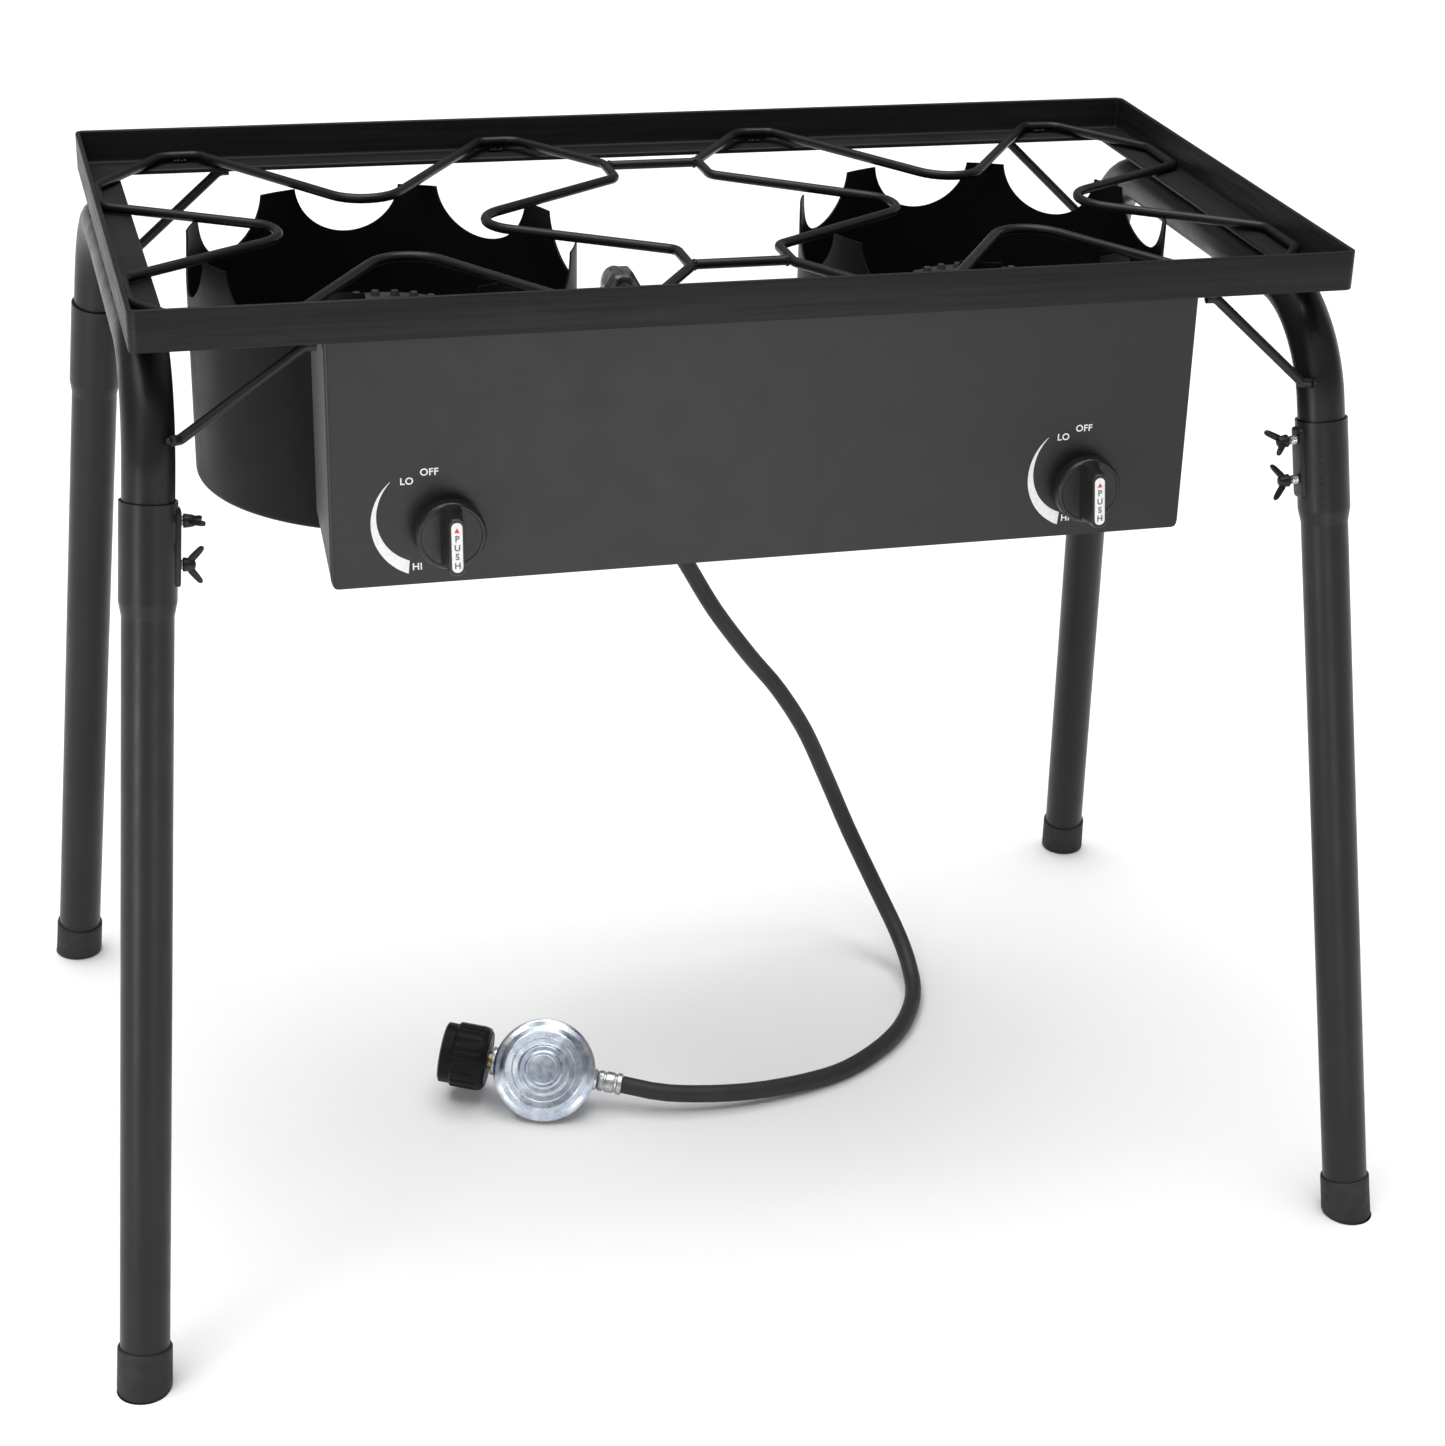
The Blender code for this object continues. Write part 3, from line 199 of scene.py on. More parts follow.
def make_finishes():
    """Every finish on the stand."""
    made = {}

    coat = Finish("black_coat", (0.009, 0.009, 0.0088), 0.38, specular=0.30)
    coat.colours(coat.noise(14, 4), (0.0080, 0.0079, 0.0078), (0.0110, 0.0108, 0.0105))
    coat.roughness(coat.noise(60, 4), 0.33, 0.42)
    coat.relief(coat.noise(1100, 2), 0.10, 0.0003)
    made["coat"] = coat.material

    angle = Finish("angle_coat", (0.010, 0.010, 0.0098), 0.46, specular=0.20)
    angle.colours(angle.noise(60, 5, (0.12, 0.12, 4)), (0.0075, 0.0074, 0.0073), (0.0135, 0.0132, 0.0128))
    angle.roughness(angle.noise(90, 4, (0.2, 0.2, 5)), 0.38, 0.54)
    angle.relief(angle.noise(260, 4, (0.09, 0.09, 3)), 0.28, 0.0004)
    angle.relief(angle.noise(1000, 2), 0.12, 0.0003)
    made["angle"] = angle.material

    panel = Finish("panel_coat", (0.017, 0.0165, 0.0158), 0.42, specular=0.34)
    panel.colours(panel.noise(5, 3), (0.0155, 0.0150, 0.0144), (0.0190, 0.0184, 0.0176))
    panel.roughness(panel.noise(40, 4), 0.36, 0.43)
    panel.relief(panel.noise(1500, 2), 0.05, 0.0002)
    made["panel"] = panel.material

    guard = Finish("guard_coat", (0.0062, 0.0061, 0.006), 0.44, specular=0.12)
    guard.colours(guard.noise(9, 4), (0.0052, 0.0051, 0.0050), (0.0075, 0.0074, 0.0072))
    guard.roughness(guard.noise(30, 5), 0.42, 0.52)
    guard.relief(guard.noise(1100, 2), 0.09, 0.0003)
    made["guard"] = guard.material

    iron = Finish("cast_iron", (0.03, 0.029, 0.028), 0.7, 0.3)
    iron.colours(iron.noise(50, 6), (0.02, 0.019, 0.018), (0.045, 0.043, 0.041))
    iron.roughness(iron.noise(90, 4), 0.6, 0.82)
    iron.relief(iron.noise(380, 5), 0.6, 0.0008)
    made["iron"] = iron.material

    plastic = Finish("black_plastic", (0.012, 0.0118, 0.0115), 0.34, specular=0.36)
    plastic.colours(plastic.noise(70, 3), (0.0105, 0.0103, 0.0101), (0.0145, 0.0142, 0.0139))
    plastic.roughness(plastic.noise(260, 3), 0.30, 0.42)
    plastic.relief(plastic.cells(1900), 0.06, 0.0002)
    made["plastic"] = plastic.material

    grip = Finish("nut_plastic", (0.0055, 0.0050, 0.0062), 0.42, specular=0.14)
    grip.colours(grip.noise(70, 3), (0.0046, 0.0042, 0.0053), (0.0070, 0.0062, 0.0078))
    grip.roughness(grip.noise(260, 3), 0.36, 0.50)
    grip.relief(grip.cells(1500), 0.05, 0.0002)
    made["grip"] = grip.material

    letter = Finish("letter_print", (0.10, 0.10, 0.11), 0.45)
    letter.colours(letter.noise(400, 3), (0.085, 0.085, 0.09), (0.12, 0.12, 0.13))
    made["letter"] = letter.material

    cap = Finish("cap_rubber", (0.020, 0.0195, 0.019), 0.62, specular=0.30)
    cap.colours(cap.noise(45, 4), (0.016, 0.0158, 0.0155), (0.025, 0.0245, 0.0237))
    cap.roughness(cap.noise(140, 4), 0.55, 0.72)
    cap.relief(cap.noise(900, 3), 0.18, 0.0003)
    made["cap"] = cap.material

    hose = Finish("hose_rubber", (0.026, 0.023, 0.0215), 0.52, specular=0.36)
    hose.colours(hose.noise(26, 4), (0.021, 0.0187, 0.0177), (0.031, 0.0275, 0.0258))
    hose.roughness(hose.noise(120, 4), 0.45, 0.60)
    hose.relief(hose.noise(700, 3), 0.15, 0.0003)
    made["hose"] = hose.material

    zinc = Finish("zinc", (0.58, 0.62, 0.68), 0.28, 1.0)
    zinc.colours(zinc.noise(95, 5, distortion=0.8), (0.50, 0.57, 0.69), (0.82, 0.86, 0.92), 0.38, 0.66)
    zinc.roughness(zinc.noise(240, 4), 0.24, 0.38)
    zinc.relief(zinc.noise(380, 4), 0.10, 0.0002)
    made["zinc"] = zinc.material

    steel = Finish("bright_steel", (0.55, 0.56, 0.57), 0.30, 1.0)
    steel.colours(steel.noise(300, 3), (0.42, 0.42, 0.43), (0.66, 0.67, 0.68))
    steel.roughness(steel.noise(500, 3), 0.24, 0.40)
    made["steel"] = steel.material

    gold = Finish("passivated_rim", (0.70, 0.62, 0.44), 0.30, 1.0)
    gold.colours(gold.noise(90, 4), (0.55, 0.50, 0.38), (0.82, 0.76, 0.60))
    gold.roughness(gold.noise(300, 3), 0.22, 0.38)
    made["gold"] = gold.material

    brass = Finish("brass", (0.62, 0.45, 0.20), 0.34, 1.0)
    brass.colours(brass.noise(80, 4), (0.50, 0.35, 0.15), (0.72, 0.54, 0.27))
    brass.roughness(brass.noise(260, 3), 0.26, 0.44)
    made["brass"] = brass.material

    cast = Finish("cast_zinc", (0.20, 0.20, 0.20), 0.42, 1.0)
    cast.colours(cast.noise(160, 4), (0.12, 0.12, 0.12), (0.30, 0.30, 0.30))
    cast.roughness(cast.noise(260, 3), 0.34, 0.52)
    cast.relief(cast.noise(600, 3), 0.2, 0.0003)
    made["cast"] = cast.material

    ink = Finish("white_print", (0.83, 0.83, 0.82), 0.45)
    ink.colours(ink.noise(400, 3), (0.78, 0.78, 0.77), (0.87, 0.87, 0.86))
    made["ink"] = ink.material

    red = Finish("red_print", (0.62, 0.03, 0.03), 0.45)
    red.colours(red.noise(400, 3), (0.55, 0.025, 0.025), (0.68, 0.04, 0.035))
    made["red"] = red.material
    return made


FINISH = make_finishes()


# ----------------------------------------------------------------------------
# Building helpers
# ----------------------------------------------------------------------------
def link(obj):
    """Put an object in the scene."""
    bpy.context.scene.collection.objects.link(obj)
    return obj


def mesh_object(name, bm, smooth_angle=35):
    """Wrap a bmesh, with smooth shading under an angle."""
    mesh = bpy.data.meshes.new(name)
    bm.to_mesh(mesh)
    bm.free()
    mesh.shade_smooth()
    mesh.set_sharp_from_angle(angle=math.radians(smooth_angle))
    return link(bpy.data.objects.new(name, mesh))


def loft(name, rings, caps=True, around=False, smooth_angle=35, closed=True):
    """Skin rings of the same count; around joins the last ring to the first."""
    bm = bmesh.new()
    rows = [[bm.verts.new(point) for point in ring] for ring in rings]
    count = len(rows[0])
    pairs = list(zip(rows, rows[1:])) + ([(rows[-1], rows[0])] if around else [])
    for first, second in pairs:
        for index in range(count if closed else count - 1):
            follow = (index + 1) % count
            bm.faces.new((first[index], first[follow], second[follow], second[index]))
    if caps and not around:
        bm.faces.new(rows[0])
        bm.faces.new(rows[-1])
    bmesh.ops.remove_doubles(bm, verts=bm.verts, dist=0.0000005)
    bmesh.ops.dissolve_degenerate(bm, dist=0.0000005, edges=bm.edges)
    bmesh.ops.recalc_face_normals(bm, faces=bm.faces)
    return mesh_object(name, bm, smooth_angle)


def turned(name, profile, steps, place, smooth_angle=35, swell=None):
    """Turn a closed profile of (radius, height) points about the place's Z."""
    rings = []
    for radius, height in profile:
        ring = []
        for step in range(steps):
            angle = 2 * math.pi * step / steps
            reach = radius * (swell(angle, radius, height) if swell else 1)
            ring.append(place @ Vector((reach * math.cos(angle), reach * math.sin(angle), height)))
        rings.append(ring)
    on_axis = profile[0][0] == 0 and profile[-1][0] == 0
    return loft(name, rings, caps=False, around=not on_axis, smooth_angle=smooth_angle)


def wire(name, points, radius, fineness=5, cyclic=False):
    """A round rod along the points."""
    data = bpy.data.curves.new(name, "CURVE")
    data.dimensions = "3D"
    data.bevel_depth = radius
    data.bevel_resolution = fineness
    data.use_fill_caps = not cyclic
    spline = data.splines.new("POLY")
    spline.points.add(len(points) - 1)
    for slot, point in zip(spline.points, points):
        slot.co = (*point, 1.0)
    spline.use_cyclic_u = cyclic
    spline.use_smooth = True
    return link(bpy.data.objects.new(name, data))


def rounded(corners, radii, steps, cyclic=False):
    """Round a polyline's corners: each corner becomes an arc of its radius."""
    corners = [Vector(corner) for corner in corners]
    count = len(corners)
    path = []
    for index, corner in enumerate(corners):
        if (not cyclic and index in (0, count - 1)) or radii[index] == 0:
            path.append(corner)
            continue
        back = (corners[index - 1] - corner).normalized()
        ahead = (corners[(index + 1) % count] - corner).normalized()
        half = back.angle(ahead) / 2
        centre = corner + (back + ahead).normalized() * radii[index] / math.sin(half)
        spoke = corner + back * radii[index] / math.tan(half) - centre
        other = corner + ahead * radii[index] / math.tan(half) - centre
        sweep = spoke.angle(other)
        for step in range(steps + 1):
            part = step / steps
            blend = spoke * math.sin((1 - part) * sweep) + other * math.sin(part * sweep)
            path.append(centre + blend / math.sin(sweep))
    return path


def rounded_rectangle(half_x, half_y, radius, steps=6):
    """Corners of a rectangle about the origin, rounded with arcs."""
    corners = [(half_x, -half_y, 0), (half_x, half_y, 0), (-half_x, half_y, 0), (-half_x, -half_y, 0)]
    return rounded(corners, [radius] * 4, steps, cyclic=True)


def soft_profile(profile, radii, steps=3, cyclic=False):
    """Round the corners of a (radius, height) profile."""
    points = rounded([(r, z, 0) for r, z in profile], radii, steps, cyclic)
    return [(point.x, point.y) for point in points]


def smooth_route(points, spacing):
    """Read a smooth curve through the points, about one reading for each spacing."""
    points = [Vector(point) for point in points]
    ends = [points[0] * 2 - points[1]] + points + [points[-1] * 2 - points[-2]]
    path = []
    for before, start, end, after in zip(ends, ends[1:], ends[2:], ends[3:]):
        readings = max(1, round((end - start).length / spacing))
        for reading in range(readings):
            t = reading / readings
            path.append(0.5 * (2 * start + (end - before) * t
                               + (2 * before - 5 * start + 4 * end - after) * t ** 2
                               + (3 * start - before - 3 * end + after) * t ** 3))
    path.append(points[-1])
    return path


def facing(axis, origin):
    """The matrix that turns local +Z to the axis, placed at the origin."""
    turn = Vector(axis).normalized().to_track_quat("Z", "Y").to_matrix().to_4x4()
    return Matrix.Translation(origin) @ turn


def axes_at(origin, x_axis, y_axis, z_axis):
    """The matrix with these columns, placed at the origin."""
    return Matrix.Translation(origin) @ Matrix((x_axis, y_axis, z_axis)).transposed().to_4x4()


def add_rod(bm, start, end, radius, sides=32, tip_radius=None):
    """Add a closed cylinder or cone between two points to a bmesh."""
    start, end = Vector(start), Vector(end)
    bmesh.ops.create_cone(
        bm, cap_ends=True, segments=sides, radius1=radius,
        radius2=radius if tip_radius is None else tip_radius,
        depth=(end - start).length, matrix=facing(end - start, (start + end) / 2))


def applied(obj):
    """The object with its modifiers applied."""
    bpy.context.view_layer.update()
    graph = bpy.context.evaluated_depsgraph_get()
    mesh = bpy.data.meshes.new_from_object(obj.evaluated_get(graph))
    obj.modifiers.clear()
    if obj.type == "MESH":
        obj.data = mesh
        return obj
    name = obj.name
    bpy.data.objects.remove(obj, do_unlink=True)
    return link(bpy.data.objects.new(name, mesh))


def cut(obj, cutters, operation="DIFFERENCE"):
    """Boolean the object with each cutter, and remove the cutters."""
    for cutter in cutters:
        if cutter.type != "MESH":
            cutter = applied(cutter)
        bm = bmesh.new()
        bm.from_mesh(cutter.data)
        bmesh.ops.remove_doubles(bm, verts=bm.verts, dist=0.000001)
        bm.to_mesh(cutter.data)
        bm.free()
        modifier = obj.modifiers.new("cut", "BOOLEAN")
        modifier.operation = operation
        modifier.solver = "EXACT"
        modifier.object = cutter
        applied(obj)
        bpy.data.objects.remove(cutter, do_unlink=True)
    obj.data.shade_smooth()
    obj.data.set_sharp_from_angle(angle=math.radians(35))
    return obj


def bevelled(obj, width, segments=2, angle=40):
    """Round the object's sharp edges."""
    modifier = obj.modifiers.new("Bevel", "BEVEL")
    modifier.width = width
    modifier.segments = segments
    modifier.limit_method = "ANGLE"
    modifier.angle_limit = math.radians(angle)
    modifier.harden_normals = True
    return obj


def put(obj, finish, body, replaces=()):
    """Give a piece its finish and say what it rides on and stands for."""
    obj.data.materials.clear()
    obj.data.materials.append(FINISH[finish])
    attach(obj, body)
    if replaces:
        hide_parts(*replaces)
    return obj


def dress(node, finish):
    """Give a CAD node that stays a better material."""
    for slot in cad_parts[node].material_slots:
        slot.material = FINISH[finish]


def leg_point(side, end, height):
    """A point on a leg's centre line at a height above the floor."""
    return Vector((side * (FOOT_X - LEAN_X * height), end * (FOOT_Y - LEAN_Y * height), height))


def leg_axes(side, end):
    """Local Z up the leg, local X inward, origin where the leg meets the floor."""
    up = (leg_point(side, end, 1.0) - leg_point(side, end, 0.0)).normalized()
    inward = Vector((-side, 0, 0))
    inward = (inward - up * inward.dot(up)).normalized()
    return up, inward


def weld(name, points, radius, body="stand", finish="coat"):
    """A string of weld beads."""
    bm = bmesh.new()
    for index, point in enumerate(points):
        size = radius * (1.0 + 0.18 * math.sin(index * 2.4))
        bmesh.ops.create_icosphere(bm, subdivisions=2, radius=size, matrix=Matrix.Translation(point))
    return put(mesh_object(name, bm, 80), finish, body)


# ----------------------------------------------------------------------------
# Hose, first
# ----------------------------------------------------------------------------
def sleeve(name, node, start, direction, body="stand"):
    """A crimped sleeve on a hose end: a collar, a barrel and two pressed grooves."""
    r = FERRULE_RADIUS
    profile = [(HOSE_RADIUS * 0.9, FIT_GAP), (r - 0.0005, FIT_GAP), (r, 0.0008), (r, 0.0036),
               (r - 0.0010, 0.0044), (r - 0.0012, 0.0054), (r - 0.0003, 0.0064), (r - 0.0002, 0.0118),
               (r - 0.0011, 0.0127), (r - 0.0011, 0.0134), (r - 0.0003, 0.0142),
               (r - 0.0004, FERRULE_LENGTH - 0.0010),
               (r - 0.0010, FERRULE_LENGTH), (HOSE_RADIUS * 0.9, FERRULE_LENGTH)]
    piece = turned(name, profile, 40, facing(direction, start))
    return put(piece, "steel", body, (node,))


def gas_hose():
    """The rubber hose on its route, with the pieces that lie on it."""
    path = smooth_route(HOSE_ROUTE, 0.010)
    hose = put(wire("hose", path, HOSE_RADIUS, 8), "hose", "stand", ("gas_hose",))
    lower = sleeve("hose_sleeve_regulator", "hose_ferrule_regulator", HOSE_ROUTE[-1], REGULATOR_AXIS)
    sleeve("hose_sleeve_inlet", "hose_ferrule_inlet", HOSE_ROUTE[0], (0, 0, 1))
    length = sum((second - first).length for first, second in zip(path, path[1:]))
    return hose, lower, length


HOSE, LOWER_SLEEVE, HOSE_LENGTH = gas_hose()


# ----------------------------------------------------------------------------
# Frame, tubes, braces
# ----------------------------------------------------------------------------
def top_frame():
    """The angle iron, with soft edges and a fillet at its root."""
    low, top = FLANGE_BOTTOM, FRAME_TOP
    corners = [(0, low), (0, top), (ANGLE_WALL, top), (ANGLE_WALL, FLANGE_TOP),
               (ANGLE_SIZE, FLANGE_TOP), (ANGLE_SIZE, low)]
    section = soft_profile(corners, [0.0009, 0.0009, 0.0012, 0.0026, 0.0014, 0.0005], 3, cyclic=True)
    rings = []
    for inset, height in section:
        half_x, half_y = FRAME_WIDTH / 2 - inset, FRAME_DEPTH / 2 - inset
        outline = rounded_rectangle(half_x, half_y, max(FRAME_CORNER - inset, 0.0007), 7)
        rings.append([Vector((point.x, point.y, height)) for point in outline])
    body = loft("angle_frame", rings, around=True)
    put(body, "angle", "stand", ("top_frame",))


def side_tube(name, side):
    """The bent tube under a side of the frame."""
    tips = [SOCKET_BOTTOM + SOCKET_LIFT[end + "_" + name] + FIT_GAP for end in ("front", "back")]
    corners = [leg_point(side, -1, tips[0]), leg_point(side, -1, SIDE_TUBE_Z),
               leg_point(side, 1, SIDE_TUBE_Z), leg_point(side, 1, tips[1])]
    path = rounded(corners, [0, TUBE_BEND, TUBE_BEND, 0], 24)
    put(wire("arch_" + name, path, TUBE_RADIUS, 10), "coat", "stand", ("side_tube_" + name,))
    for end in ENDS.values():
        beads = [Vector((side * (FRAME_WIDTH / 2 - 0.0012 - 0.0026 * step), end * 0.085,
                         FLANGE_BOTTOM - 0.0010)) for step in range(6)]
        weld("arch_weld_%s_%d" % (name, end), beads, 0.0022)


def brace(name, side, end):
    """A round rod from under the frame down to the side of a leg, with weld beads at each end."""
    up, _ = leg_axes(side, end)
    outward = Vector((-side, end, 0))
    outward = (outward - up * outward.dot(up)).normalized()
    along = outward.cross(up).normalized()
    if along.x * side < 0:
        along = -along
    height, bend_x = BRACE_SHAPE[name]
    touch = leg_point(side, end, height) + outward * (TUBE_RADIUS + ROD_RADIUS + FIT_GAP)
    top_z = FLANGE_BOTTOM - FIT_GAP - ROD_RADIUS
    top_y = end * (FRAME_DEPTH / 2 - ANGLE_SIZE / 2 + ROD_RADIUS)
    corners = [(side * (bend_x - BRACE_TAB), top_y, top_z), (side * bend_x, top_y, top_z),
               touch - along * 0.005, touch + along * 0.002]
    path = rounded(corners, [0, 0.008, 0.003, 0], 6)
    put(wire("strut_" + name, path, ROD_RADIUS, 5), "coat", "stand", ("brace_" + name,))
    foot = [touch - outward * 0.0020 + along * (0.0022 * step - 0.004) for step in range(4)]
    weld("strut_weld_low_" + name, foot, 0.0017)
    head = [Vector((side * (bend_x - BRACE_TAB + 0.002 + 0.0020 * step), top_y - 0.002, top_z + 0.0022))
            for step in range(3)]
    weld("strut_weld_high_" + name, head, 0.0018)


# ----------------------------------------------------------------------------
# Pot rings
# ----------------------------------------------------------------------------
def ring_path(centre_x, steps):
    """The star of bent rod."""
    half_x, half_y = RING_HALF_WIDTH, RING_HALF_DEPTH
    middle_side = -math.copysign(1, centre_x)

    def quarter(way):
        """Corners from a side's inward point round to the front or back point."""
        low, high = (0.0855, 0.122) if way == middle_side else (0.0795, 0.128)
        return [((way * 0.0453, 0.0), RING_BEND), ((way * half_x, low), 0.010), ((way * half_x, high), 0.014),
                ((way * 0.122, half_y), 0.014), ((way * 0.0975, half_y), 0.008)]

    inner_y = ((0.0, 0.0445), RING_BEND)
    corners = quarter(1) + [inner_y]
    corners += reversed(quarter(-1))
    corners += [((x, -y), r) for (x, y), r in quarter(-1)[1:]]
    corners += [((inner_y[0][0], -inner_y[0][1]), inner_y[1])]
    corners += [((x, -y), r) for (x, y), r in reversed(quarter(1)[1:])]
    points = [(centre_x + x, y, ROD_Z + RING_RISE * (1 + middle_side * x / half_x) / 2)
              for (x, y), _ in corners]
    return rounded(points, [r for _, r in corners], steps, cyclic=True)


def pot_ring(name, side):
    """One star ring, with the beads that hold it to the flange."""
    centre = side * BURNER_X
    ring = wire("star_" + name, ring_path(centre, 10), ROD_RADIUS, 6, cyclic=True)
    put(ring, "coat", "stand", ("pot_ring_" + name,))
    for end in ENDS.values():
        for way in (-1, 1):
            x = centre + way * 0.1095
            beads = [Vector((x + 0.0022 * (step - 1.5), end * (RING_HALF_DEPTH - 0.0028),
                             FLANGE_TOP + 0.0012)) for step in range(4)]
            weld("star_weld_%s_%d_%d" % (name, end, way), beads, 0.0013)


def link_rod(name, end):
    """A short rod between the star rings, with a bead at each end."""
    reach = BURNER_X - RING_HALF_WIDTH - ROD_RADIUS - FIT_GAP
    height = ROD_Z + RING_RISE
    points = [(-reach, end * LINK_Y, height), (reach, end * LINK_Y, height)]
    put(wire("link_" + name, points, ROD_RADIUS, 6), "coat", "stand", ("link_rod_" + name,))
    for way in (-1, 1):
        around = [Vector((way * (reach + 0.0004), end * LINK_Y + 0.0023 * math.cos(a),
                          height + 0.0023 * math.sin(a)))
                  for a in (0.2, 0.9, 1.6, 2.3, 3.0, 3.7, 4.4, 5.1, 5.8)]
        weld("link_weld_%s_%d" % (name, way), around, 0.0014)


# ----------------------------------------------------------------------------
# Wind guards and burners
# ----------------------------------------------------------------------------
def wind_guard(name, side):
    """The sheet-metal bowl with its crown of eight posts."""
    outer, inner = GUARD_RADIUS, GUARD_RADIUS - GUARD_WALL
    hole = SCREW_RADIUS + FIT_GAP
    profile = soft_profile(
        [(outer, GUARD_TOP), (outer, GUARD_BOTTOM), (hole, GUARD_BOTTOM), (hole, GUARD_BOTTOM + GUARD_WALL),
         (inner, GUARD_BOTTOM + GUARD_WALL), (inner, GUARD_TOP)],
        [0, GUARD_EDGE, 0, 0, GUARD_EDGE - GUARD_WALL, 0], 5)
    centre = Vector((side * BURNER_X + GUARD_SHIFT, 0, 0))
    guard = turned("guard_" + name, profile, 144, Matrix.Translation(centre))
    bm = bmesh.new()
    lift = Vector((0, 0, SCALLOP_LOW + SCALLOP_RADIUS))
    for index in range(8):
        angle = math.radians(45 * index + CROWN_TURN)
        ray = Vector((math.cos(angle), math.sin(angle), 0))
        add_rod(bm, centre + lift + ray * (GUARD_RADIUS - 0.02), centre + lift + ray * (GUARD_RADIUS + 0.02),
                SCALLOP_RADIUS, 72)
    for index in range(6):
        angle = math.radians(30 + 60 * index)
        spot = centre + Vector((math.cos(angle), math.sin(angle), 0)) * DRAIN_CIRCLE
        add_rod(bm, spot + Vector((0, 0, GUARD_BOTTOM - 0.004)), spot + Vector((0, 0, GUARD_BOTTOM + 0.005)),
                DRAIN_RADIUS, 32)
    x = side * BURNER_X + KNOB_SHIFT
    add_rod(bm, (x, -GUARD_RADIUS - 0.01, KNOB_Z), (x, -GUARD_RADIUS + 0.02, KNOB_Z), MIXER_MOUTH + 0.002, 48)
    cut(guard, [mesh_object("holes", bm)])
    put(bevelled(guard, 0.00025, 1, 50), "guard", "stand", ("wind_guard_" + name,))


def burner(name, side):
    """The cast burner: a head with two circles of raised ports, on its neck and mixer tube."""
    x = side * BURNER_X
    low = HEAD_TOP - BURNER_THICKNESS
    floor = GUARD_BOTTOM + GUARD_WALL + FIT_GAP
    corners = [(0, HEAD_TOP - 0.007), (0.014, HEAD_TOP - 0.007), (0.018, HEAD_TOP), (0.030, HEAD_TOP),
               (0.033, HEAD_TOP - 0.004), (0.039, HEAD_TOP - 0.004), (0.042, HEAD_TOP - 0.001),
               (0.056, HEAD_TOP - 0.001), (BURNER_RADIUS, HEAD_TOP - 0.007), (BURNER_RADIUS, low + 0.006),
               (0.055, low), (0.024, low - 0.006), (0.017, low - 0.014), (0.017, KNOB_Z - 0.012),
               (0.011, KNOB_Z - 0.017), (0.011, floor), (0, floor)]
    radii = [0, 0.0015, 0.002, 0.002, 0.0015, 0.0015, 0.0015, 0.002, 0.002, 0.002, 0.003, 0.004, 0.004,
             0.001, 0.001, 0, 0]
    head = turned("burner_head_" + name, soft_profile(corners, radii), 72, Matrix.Translation((x, 0, 0)))
    put(head, "iron", "stand", ("burner_" + name,))
    bm = bmesh.new()
    for count, reach in ((24, 0.049), (12, 0.024)):
        for index in range(count):
            angle = 2 * math.pi * index / count
            foot = Vector((x + reach * math.cos(angle), reach * math.sin(angle), HEAD_TOP - 0.002))
            add_rod(bm, foot, foot + Vector((0, 0, 0.0042)), 0.0036, 16, 0.0024)
    put(mesh_object("burner_ports_" + name, bm), "iron", "stand")
    mouth = [(MIXER_MOUTH, MIXER_FRONT), (MIXER_MOUTH, MIXER_FRONT - 0.004),
             (MIXER_RADIUS, MIXER_FRONT - 0.026), (MIXER_RADIUS, 0.012), (MIXER_BORE, 0.012),
             (MIXER_BORE, MIXER_FRONT - 0.026), (MIXER_MOUTH - 0.003, MIXER_FRONT)]
    tube = turned("mixer_tube_" + name, soft_profile(mouth, [0.001, 0.002, 0.01, 0, 0, 0.01, 0.001], 4),
                  48, facing((0, -1, 0), (x + KNOB_SHIFT, 0, KNOB_Z)))
    put(tube, "iron", "stand")


